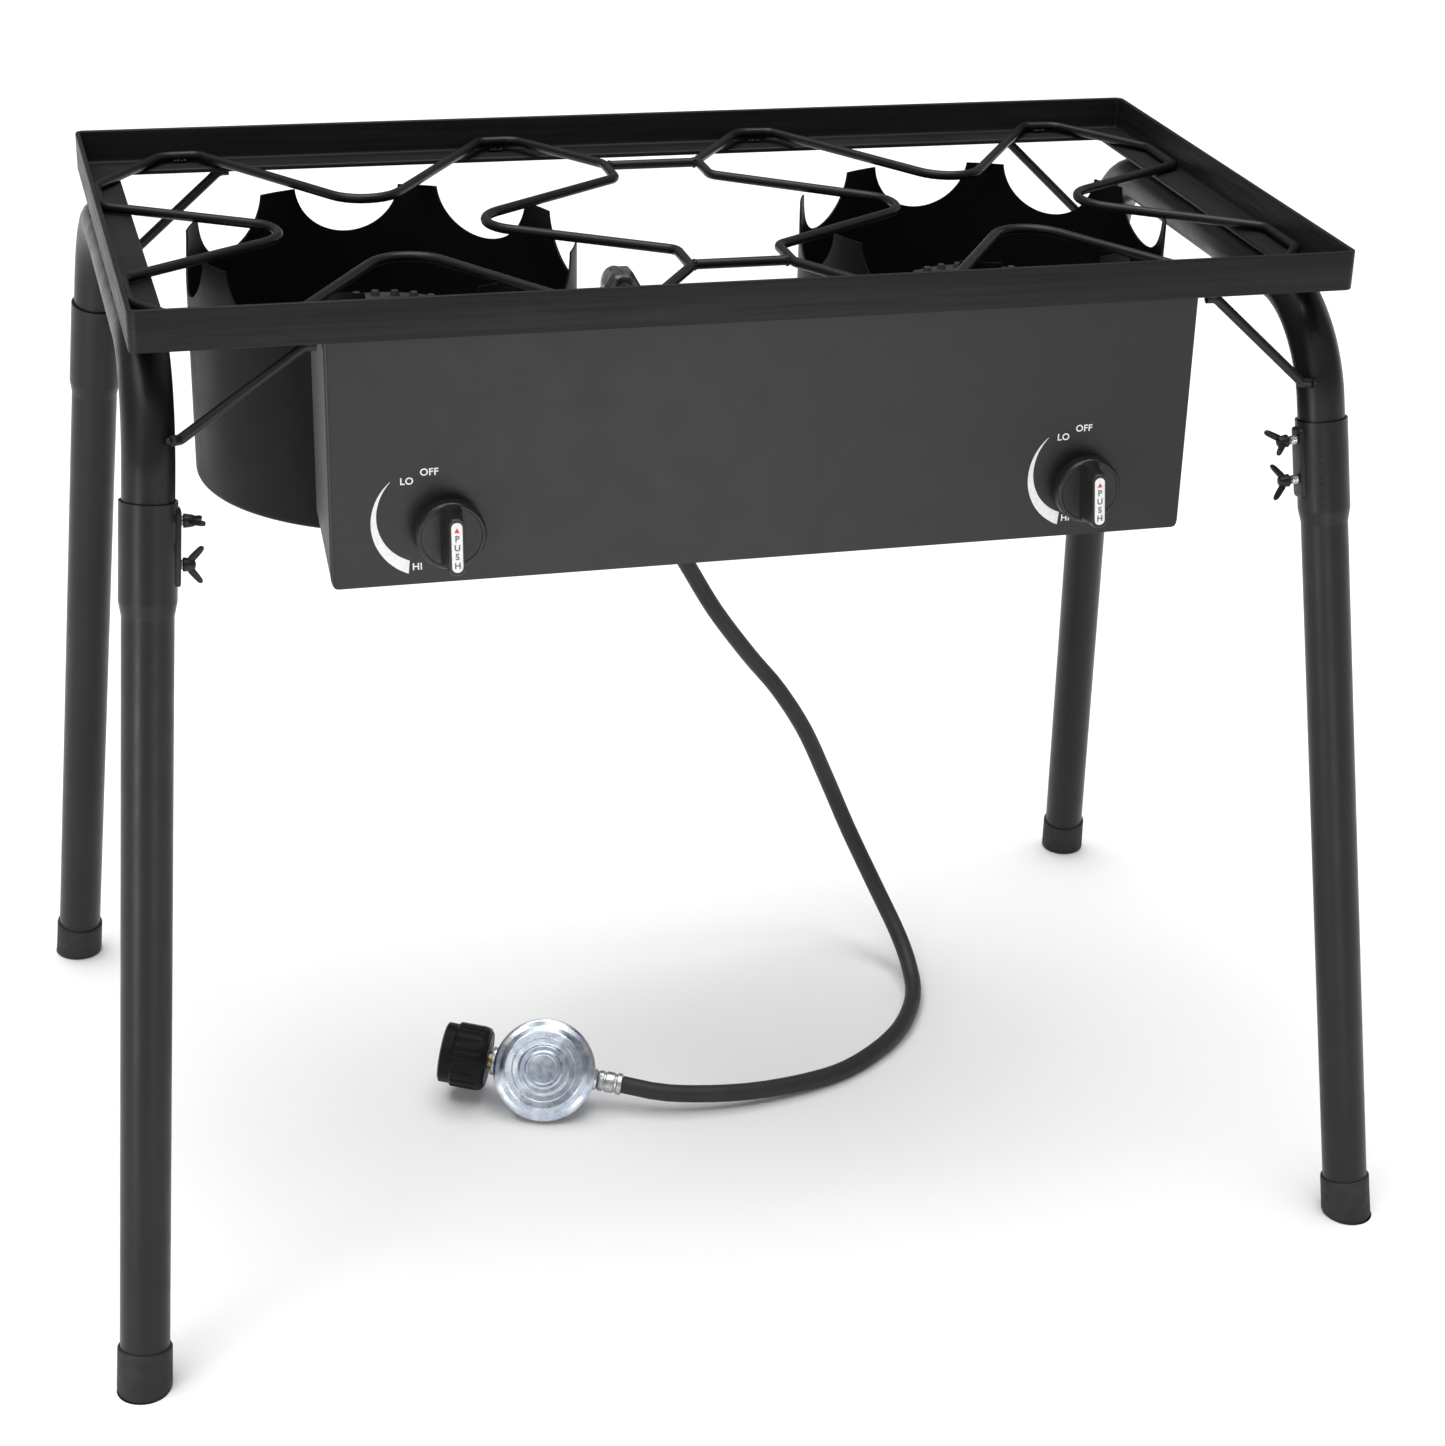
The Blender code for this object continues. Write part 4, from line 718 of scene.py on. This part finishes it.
# ----------------------------------------------------------------------------
# Front panel and its print
# ----------------------------------------------------------------------------
def front_panel():
    """The folded sheet: its bends, slanted side flanges and top flange."""
    left, right = PANEL_MIDDLE - PANEL_WIDTH / 2, PANEL_MIDDLE + PANEL_WIDTH / 2
    face, top = -PANEL_FACE, FLANGE_BOTTOM - FIT_GAP
    bend, corner = 0.0026, 0.0048

    def fold(inset):
        """The sheet's section, with readings near the ends of the face for its rounded corners."""
        corners = [(left + inset, face + PANEL_RETURN, 0), (left + inset, face + inset, 0),
                   (right - inset, face + inset, 0), (right - inset, face + PANEL_RETURN, 0)]
        path = rounded(corners, [0, bend - inset, bend - inset, 0], 6)
        reads = [left + d for d in (0.0031, 0.0038, 0.0048)] + [right - d for d in (0.0048, 0.0038, 0.0031)]
        return path[:8] + [Vector((x, face + inset, 0)) for x in reads] + path[8:]

    rings = []
    for out, back in zip(fold(0), fold(PANEL_SHEET)):
        depth = out.y - face
        near = max(0.0, corner - min(out.x - left, right - out.x))
        low = PANEL_BOTTOM + corner - math.sqrt(max(0.0, corner ** 2 - near ** 2))
        low += min(depth / bend, 1.0) * 0.0017 + depth / PANEL_RETURN * 0.0235
        rings.append([Vector((out.x, out.y, low)), Vector((out.x, out.y, top)),
                      Vector((back.x, back.y, top)), Vector((back.x, back.y, low))])
    panel = loft("knob_panel", rings, smooth_angle=50)
    bm = bmesh.new()
    for side in SIDES.values():
        x = side * BURNER_X + KNOB_SHIFT
        add_rod(bm, (x, face - 0.004, KNOB_Z), (x, face + 0.005, KNOB_Z), 0.0058, 32)
    cut(panel, [mesh_object("stem_holes", bm)])
    put(bevelled(panel, 0.0003, 2, 60), "panel", "stand", ("front_panel",))
    shelf = loft("panel_top_flange", [
        [Vector((x, face + PANEL_SHEET, top)), Vector((x, face + 0.020, top)),
         Vector((x, face + 0.020, top - PANEL_SHEET)), Vector((x, face + PANEL_SHEET, top - PANEL_SHEET))]
        for x in (left + PANEL_SHEET, right - PANEL_SHEET)])
    put(bevelled(shelf, 0.0003), "panel", "stand")


UPRIGHT = ((1, 0, 0), (0, 0, 1), (0, -1, 0))        # a place facing the front: local X right, Y up, Z out


def print_text(name, text, place, height, finish="ink", body="stand"):
    """Flat lettering, its middle at the place."""
    data = bpy.data.curves.new(name, "FONT")
    data.body = text
    data.align_x, data.align_y = "CENTER", "CENTER"
    data.size = height / 0.70
    data.offset = height * 0.028
    data.extrude = 0.00004
    data.space_character = 1.06
    obj = link(bpy.data.objects.new(name, data))
    obj.matrix_world = place
    return put(obj, finish, body)


# Each dial's middle: how far it lies right of its burner, and its height.
DIAL_PLACES = {"left": (-0.0082, 0.5380), "right": (0.0012, 0.5388)}


def dial(name, side):
    """The printed dial round a knob: OFF, LO, HI and a growing crescent."""
    right, height = DIAL_PLACES[name]
    centre = Vector((side * BURNER_X + right, -PANEL_FACE - 0.00012, height))
    for word, x, z in (("OFF", 0.0003, 0.0313), ("LO", -0.0133, 0.0262), ("HI", -0.0079, -0.0287)):
        place = axes_at(centre + Vector((x, 0, z)), *UPRIGHT)
        print_text("dial_%s_%s" % (word.lower(), name), word, place, 0.0043)
    radius = 0.0353
    rings = []
    for step in range(41):
        part = step / 40
        width = 0.0002 + 0.0078 * part
        out_angle = math.radians(41 + (158 - 41) * part)
        in_angle = math.radians(41 + (152.8 - 41) * part)
        out = Vector((-radius * math.sin(out_angle), 0, radius * math.cos(out_angle)))
        back = Vector((-math.sin(in_angle), 0, math.cos(in_angle))) * (radius - width)
        thin = Vector((0, 0.00006, 0))
        rings.append([centre + out - thin, centre + back - thin, centre + back + thin, centre + out + thin])
    put(loft("dial_crescent_" + name, rings, smooth_angle=60), "ink", "stand")


KNOB_TURNS = {"left": 0.5, "right": 4.5}            # degrees that each knob rests off the vertical


def knob(name, side):
    """The knob: a skirt with a soft rim, a tapered grip bar and its label."""
    body = name + "_knob"
    place = axes_at((side * BURNER_X + KNOB_SHIFT, 0, KNOB_Z), *UPRIGHT)
    place = place @ Matrix.Rotation(math.radians(KNOB_TURNS[name]), 4, "Z")
    back = PANEL_FACE + KNOB_BACK
    skirt = back + KNOB_SKIRT
    r = KNOB_RADIUS
    corners = [(0, skirt - 0.0003), (r - 0.0034, skirt - 0.0003), (r - 0.0030, skirt), (r - 0.0016, skirt),
               (r - 0.0003, skirt - 0.0016), (r, back), (r - 0.002, back), (r - 0.003, skirt - 0.003),
               (0.0065, skirt - 0.003), (0.0065, back), (0, back)]
    profile = soft_profile(corners, [0, 0.0002, 0.0002, 0.0006, 0.0008, 0.0003, 0.0003, 0, 0, 0, 0], 4)
    disc = turned("knob_skirt_" + name, profile, 96, place)
    put(disc, "plastic", body, ("knob_" + name,))
    top = back + KNOB_DEPTH
    layers = [(skirt - 0.0015, 1.50, 1.13), (skirt + 0.0004, 1.42, 1.12), (skirt + 0.0030, 1.24, 1.06),
              (skirt + 0.0080, 1.10, 1.02), (top - 0.0016, 1.0, 1.0), (top - 0.0005, 0.965, 0.985),
              (top, 0.90, 0.965)]
    rings = []
    for height, wide, long in layers:
        half_x, half_y = GRIP_WIDTH / 2 * wide, GRIP_LENGTH / 2 * long
        outline = rounded_rectangle(half_x, half_y, half_x * 0.72, 6)
        rings.append([place @ Vector((point.x, point.y, height)) for point in outline])
    put(loft("knob_grip_" + name, rings), "plastic", body)
    half_x, half_y = 0.0033, 0.0158
    plate_rings = []
    for height, shrink in ((top - 0.0002, 0), (top + 0.00022, 0), (top + 0.00030, 0.0003)):
        outline = rounded_rectangle(half_x - shrink, half_y - shrink, half_x - shrink - 0.00005, 8)
        plate_rings.append([place @ Vector((point.x, point.y, height)) for point in outline])
    put(loft("knob_label_" + name, plate_rings), "ink", body)
    face = top + 0.00034
    tip, low, half = 0.0126, 0.0096, 0.0016
    arrow = [[place @ Vector((0, tip, face + lift)), place @ Vector((-half, low, face + lift)),
              place @ Vector((half, low, face + lift))] for lift in (0.0, 0.00008)]
    put(loft("knob_arrow_" + name, arrow), "red", body)
    for index, letter in enumerate("PUSH"):
        spot = place @ Matrix.Translation((0, 0.0056 - 0.0057 * index, face + 0.00005))
        print_text("knob_letter_%s_%d" % (name, index), letter, spot, 0.0038, "letter", body)


# ----------------------------------------------------------------------------
# Legs, feet and wing screws
# ----------------------------------------------------------------------------
def lower_leg(name, side, end):
    """The plug-in leg with its swaged socket and nut plate, and its rubber cap."""
    up, inward = leg_axes(side, end)
    place = axes_at(leg_point(side, end, 0.0), inward, up.cross(inward), up)
    body = name + "_leg"
    lift = SOCKET_LIFT[name]
    step, top = (SOCKET_BOTTOM + lift) * LEG_SCALE, (SOCKET_TOP + lift) * LEG_SCALE
    bottom = 0.006
    inner = TUBE_RADIUS - TUBE_WALL
    corners = [(SOCKET_RADIUS, top), (SOCKET_RADIUS, step - 0.001), (TUBE_RADIUS, step - 0.010),
               (TUBE_RADIUS, bottom), (inner, bottom), (inner, step), (SOCKET_BORE, step), (SOCKET_BORE, top)]
    tube = turned("leg_tube_" + name, soft_profile(corners, [0.0006, 0.006, 0.008, 0, 0, 0, 0, 0.0005], 5),
                  64, place)
    put(tube, "coat", body, ("lower_leg_" + name,))
    low, high = (PLATE_BOTTOM + lift) * LEG_SCALE, (PLATE_TOP + lift) * LEG_SCALE
    half_y, half_z = PLATE_WIDTH / 2, (high - low) / 2
    rings = []
    for depth, shrink in ((SOCKET_RADIUS - 0.0026, 0), (PLATE_FACE - 0.0010, 0.0001),
                          (PLATE_FACE - 0.0003, 0.0006), (PLATE_FACE, 0.0018)):
        outline = rounded_rectangle(half_y - shrink, half_z - shrink, 0.0030 - shrink, 5)
        rings.append([place @ Vector((depth, point.x, (low + high) / 2 + point.y)) for point in outline])
    put(loft("nut_plate_" + name, rings), "coat", body)
    if name == "front_right":
        towards = (Vector((-0.459, -0.888, 0)) - up * up.dot(Vector((-0.459, -0.888, 0)))).normalized()
        seam = [leg_point(side, end, PLATE_BOTTOM + 0.0045 * index) + towards * (SOCKET_RADIUS - 0.0007)
                for index in range(11)]
        weld("socket_seam_" + name, seam, 0.0012, body)

    cap_corners = [(CAP_RADIUS - 0.0016, CAP_HEIGHT), (CAP_RADIUS, CAP_HEIGHT), (CAP_RADIUS + 0.0001, 0.010),
                   (CAP_RADIUS + 0.0004, -0.012), (0, -0.012), (0, 0.0045),
                   (TUBE_RADIUS + 0.0001, 0.0045), (TUBE_RADIUS + 0.0001, CAP_HEIGHT)]
    cap_profile = soft_profile(cap_corners, [0, 0.0011, 0, 0, 0, 0, 0, 0], 4)
    tall = []
    for (r, z), (r2, z2) in zip(cap_profile, cap_profile[1:] + cap_profile[:1]):
        tall.append((r, z))
        if abs(z2 - z) > 0.012:
            tall += [(r + (r2 - r) * part / 8, z + (z2 - z) * part / 8) for part in range(1, 8)]
    cap = turned("cap_" + name, tall, 64, place, smooth_angle=40)
    for vertex in cap.data.vertices:
        if vertex.co.z < 0.0022:
            depth = max(vertex.co.z, 0.0)
            squeeze = 1 - 0.045 * (1 - depth / 0.0022) ** 2
            foot = leg_point(side, end, depth)
            vertex.co = Vector((foot.x + (vertex.co.x - foot.x) * squeeze,
                                foot.y + (vertex.co.y - foot.y) * squeeze, depth))
    put(cap, "cap", body, ("foot_" + name,))


WING_TWISTS = {"front_left": (12, 88), "front_right": (10, 60), "back_left": (75, 20), "back_right": (40, 5)}


def wing_screw(name, level, side, end, height, twist):
    """A wing screw: a threaded shank and a head with two flared wings."""
    up, inward = leg_axes(side, end)
    place = axes_at(leg_point(side, end, height), up, inward.cross(up), inward)
    base = PLATE_FACE + SCREW_STICKOUT[name]
    start, stop = TUBE_RADIUS + FIT_GAP, base - FIT_GAP
    r = SCREW_RADIUS
    profile = [(0, start), (r - 0.0008, start)]
    threads = int((stop - start - 0.001) / 0.001)
    for index in range(threads):
        low = start + 0.0006 + index * 0.001
        profile += [(r, low), (r - 0.00045, low + 0.0005)]
    profile += [(r - 0.0001, stop), (0, stop)]
    shank = turned("shank_%s_%s" % (name, level), profile, 32, place, smooth_angle=20)
    put(shank, "steel", "%s_%s_shank" % (name, level), ("screw_shank_%s_%s" % (name, level),))

    body = "%s_%s_wing" % (name, level)
    corners = [(0, base), (HEAD_RADIUS, base), (HEAD_RADIUS - 0.0006, base + 0.0045),
               (HEAD_RADIUS - 0.0012, base + HEAD_LENGTH - 0.0010), (0, base + HEAD_LENGTH)]
    profile = soft_profile(corners, [0, 0.0008, 0.002, 0.0012, 0], 4)
    hub = turned("hub_%s_%s" % (name, level), profile, 40, place)
    put(hub, "coat", body, ("wing_head_%s_%s" % (name, level),))
    swing = place @ Matrix.Rotation(math.radians(twist), 4, "Z")
    outline = [(0.0032, 0.0016), (0.0070, 0.0052), (0.0104, 0.0082), (0.0124, 0.0104), (0.0114, 0.0124),
               (0.0094, 0.0120), (0.0062, 0.0096), (0.0034, 0.0076), (0.0012, 0.0054)]
    for way in (-1, 1):
        rings = []
        for offset, shrink in ((-0.0017, 0.80), (-0.0011, 1.0), (0.0011, 1.0), (0.0017, 0.80)):
            centre = Vector((0.0068, 0.0070))
            ring = []
            for reach, rise in outline:
                point = centre + (Vector((reach, rise)) - centre) * shrink
                ring.append(swing @ Vector((way * point.x, offset, base + point.y)))
            rings.append(ring)
        wing = loft("wing_%s_%s_%s" % (name, level, "a" if way < 0 else "b"), rings, smooth_angle=80)
        subdivide = wing.modifiers.new("Subdivision", "SUBSURF")
        subdivide.levels = subdivide.render_levels = 2
        put(wing, "coat", body)


# ----------------------------------------------------------------------------
# Inlet fitting and regulator
# ----------------------------------------------------------------------------
def inlet_fitting():
    """The flare nut and elbow behind the burners."""
    rear = INLET_Y - 0.0175
    place = facing((0, 1, 0), (INLET_X, rear, INLET_Z))
    bore = INLET_PIPE + FIT_GAP

    def hexagon(angle, radius, height):
        flat = math.pi / 6
        turn = (angle % (2 * flat)) - flat
        return 1.0 if radius < 0.0095 else min(1.0, 0.90 / math.cos(turn))

    corners = [(0.0100, 0.0), (0.0132, -0.0014), (0.0132, -0.0138), (0.0104, -0.0152), (0.0090, -0.0190),
               (bore, -0.0195), (bore, 0.0)]
    nut = turned("flare_nut", corners, 72, place, smooth_angle=25, swell=hexagon)
    put(nut, "cast", "stand", ("inlet_nut",))
    low = HOSE_ROUTE[0][2] + FERRULE_LENGTH + FIT_GAP
    bend = rounded([(INLET_X, INLET_Y - 0.0162, INLET_Z), (INLET_X, INLET_Y, INLET_Z),
                    (INLET_X, INLET_Y, low)], [0, 0.009, 0], 10)
    put(wire("elbow", bend, 0.0088, 8), "cast", "stand", ("inlet_elbow",))


def regulator():
    """The pressed cup and stepped cover, the bosses, the nipple and the ribbed hand nut."""
    place = axes_at(RIM_CENTRE, -REGULATOR_AXIS, REGULATOR_FACE.cross(-REGULATOR_AXIS), REGULATOR_FACE)
    rim = REGULATOR_RADIUS
    cup = [(rim, 0.0), (rim, -0.0032), (rim - 0.005, -0.0045), (0.0275, -0.0095), (0.0225, -0.020),
           (0.0195, -0.0268), (0, -0.0268), (0, -0.018), (0.017, -0.018), (0.022, -0.006), (0.030, 0.0)]
    cup = soft_profile(cup, [0.0006, 0.0012, 0.002, 0.005, 0.006, 0.003, 0, 0, 0, 0, 0], 4)
    pieces = [put(turned("regulator_cup", cup, 96, place), "zinc", "stand", ("regulator_body",))]

    cover = [(0, 0.0122), (0.0128, 0.0122), (0.0140, 0.0112), (0.0172, 0.0112), (0.0188, 0.0092),
             (0.0285, 0.0080), (0.0322, 0.0046), (rim - 0.0016, 0.0034), (rim, 0.0022), (rim, FIT_GAP),
             (0.0300, FIT_GAP), (0.0270, 0.0055), (0.017, 0.0072), (0, 0.0072)]
    bends = [0, 0.0008, 0.001, 0.001, 0.0012, 0.003, 0.002, 0.0008, 0.0005, 0, 0, 0, 0, 0]
    cap = turned("regulator_cap", soft_profile(cover, bends, 4), 96, place)
    pieces.append(put(cap, "zinc", "stand", ("regulator_cover",)))
    band = [(rim - 0.0006, 0.0026), (rim + 0.0003, 0.0018), (rim + 0.0003, -0.0018), (rim - 0.0006, -0.0028)]
    band = soft_profile(band, [0.0002, 0.0006, 0.0006, 0.0002], 2)
    pieces.append(put(turned("regulator_crimp", band, 96, place), "gold", "stand"))
    for reach, height in ((0.0105, 0.0122), (0.0232, 0.0087)):
        ring = [place @ Vector((reach * math.cos(a / 48 * math.pi),
                                reach * math.sin(a / 48 * math.pi), height)) for a in range(96)]
        pieces.append(put(wire("regulator_bead_%d" % (reach * 10000), ring, 0.0005, 3, cyclic=True),
                          "zinc", "stand"))

    line = REGULATOR_CENTRE
    out_place = facing(-REGULATOR_AXIS, line)
    far = REGULATOR_OFFSET - FERRULE_LENGTH - FIT_GAP
    outlet = [(0, 0.016), (0.0098, 0.016), (0.0098, 0.0275), (0.0082, 0.0290), (0.0082, far - 0.0030),
              (0.0072, far), (0, far)]
    outlet = soft_profile(outlet, [0, 0.001, 0.001, 0.001, 0.001, 0.001, 0], 3)
    pieces.append(put(turned("outlet_boss", outlet, 40, out_place), "zinc", "stand"))
    in_place = facing(REGULATOR_AXIS, line)
    near = NUT_NEAR - 0.0025
    inlet = [(0, 0.016), (0.0128, 0.016), (0.0128, 0.0285), (0.0105, 0.0305), (0.0105, near), (0, near)]
    pieces.append(put(turned("inlet_boss", soft_profile(inlet, [0, 0.002, 0.002, 0.001, 0.0005, 0], 3),
                             48, in_place), "zinc", "stand"))
    r = NIPPLE_RADIUS
    start = near + FIT_GAP
    nose = [(0, NUT_FAR + 0.002), (0.0035, NUT_FAR + 0.001), (0.0058, NUT_FAR - 0.005),
            (0.0058, NUT_FAR - 0.014), (0.0115, NUT_FAR - 0.016), (0.0115, NUT_NEAR + 0.0085),
            (r, NUT_NEAR + 0.0085), (r, start), (0, start)]
    pieces.append(put(turned("nipple", soft_profile(nose, [0, 0.001, 0.001, 0.001, 0.001, 0, 0, 0, 0], 3),
                             48, in_place), "brass", "stand", ("tank_nipple",)))

    def ribs(angle, radius, height):
        if radius < NUT_RADIUS - 0.0012 or not NUT_NEAR + 0.005 < height < NUT_FAR - 0.010:
            return 1.0
        wave = math.cos(angle * 18)
        return 1.0 - 0.036 * max(0.0, min(1.0, 1.9 * wave - 0.6))

    r, neck = NUT_RADIUS, NIPPLE_RADIUS + 0.0005
    nut = [(r - 0.0038, NUT_FAR), (r - 0.0018, NUT_FAR - 0.0012), (r - 0.0018, NUT_FAR - 0.0085),
           (r - 0.0004, NUT_FAR - 0.0098)]
    nut += [(r, NUT_FAR - 0.0105 - 0.0018 * step) for step in range(10)]
    nut += [(r - 0.0002, NUT_NEAR + 0.0050), (r - 0.0012, NUT_NEAR + 0.0020), (r - 0.004, NUT_NEAR),
            (neck, NUT_NEAR), (neck, NUT_NEAR + 0.008), (NUT_BORE, NUT_NEAR + 0.008), (NUT_BORE, NUT_FAR)]
    grip = turned("nut_grip", nut, 216, in_place, smooth_angle=32, swell=ribs)
    pieces.append(put(grip, "grip", "hand_nut", ("hand_nut",)))
    return pieces


# ----------------------------------------------------------------------------
# Stage
# ----------------------------------------------------------------------------
def stage():
    """A pale floor, a soft sky and softboxes."""
    floor = Finish("floor", (0.93, 0.93, 0.93), 0.9, 0.0, 0.0)
    mesh = bpy.data.meshes.new("floor")
    reach = 40
    mesh.from_pydata([(-reach, -reach, 0), (reach, -reach, 0), (reach, reach, 0), (-reach, reach, 0)], [],
                     [(0, 1, 2, 3)])
    ground = link(bpy.data.objects.new("floor", mesh))
    mesh.materials.append(floor.material)
    world = bpy.data.worlds.new("studio")
    world.use_nodes = True
    world.node_tree.nodes["Background"].inputs["Color"].default_value = (1, 1, 1, 1)
    world.node_tree.nodes["Background"].inputs["Strength"].default_value = 0.23
    bpy.context.scene.world = world
    bpy.context.scene.view_settings.view_transform = "Standard"
    sky = bpy.data.lights.new("overhead", "SUN")
    sky.energy, sky.angle = 3.4, math.radians(60)
    link(bpy.data.objects.new("overhead", sky)).matrix_world = facing((-0.10, 0.0, 1), (0, 0, 3))
    for name, place, aim, power, width, height in (
            ("key", (-2.3, -2.3, 2.4), (0, 0, 0.4), 9, 1.5, 1.5),
            ("low_right", (0.15, -1.25, 0.18), (-0.1, -0.2, 0.5), 1.2, 0.5, 0.4),
            ("low_left", (-1.35, -1.05, 0.28), (-0.35, -0.2, 0.5), 4.5, 0.35, 0.5),
            ("rim", (1.9, 0.6, 0.9), (0.2, 0, 0.5), 1.5, 0.6, 0.9)):
        data = bpy.data.lights.new(name, "AREA")
        data.shape = "RECTANGLE"
        data.energy, data.size, data.size_y = power, width, height
        lamp = link(bpy.data.objects.new(name, data))
        lamp.matrix_world = facing(Vector(place) - Vector(aim), place)


def build():
    """Make every piece."""
    top_frame()
    for name, side in SIDES.items():
        side_tube(name, side)
        pot_ring(name, side)
        wind_guard(name, side)
        burner(name, side)
        dial(name, side)
        knob(name, side)
        dress("air_shutter_" + name, "steel")
        dress("valve_body_" + name, "brass")
        dress("valve_stem_" + name, "brass")
        dress("stem_washer_" + name, "steel")
    dress("gas_manifold", "coat")
    for name, end in ENDS.items():
        link_rod(name, end)
    for end_name, end in ENDS.items():
        for side_name, side in SIDES.items():
            name = end_name + "_" + side_name
            brace(name, side, end)
            lower_leg(name, side, end)
            for level, height, twist in zip(("low", "high"), SCREW_HEIGHTS, WING_TWISTS[name]):
                wing_screw(name, level, side, end, height + SOCKET_LIFT[name], twist)
    front_panel()
    inlet_fitting()
    parts = regulator()
    stage()


build()
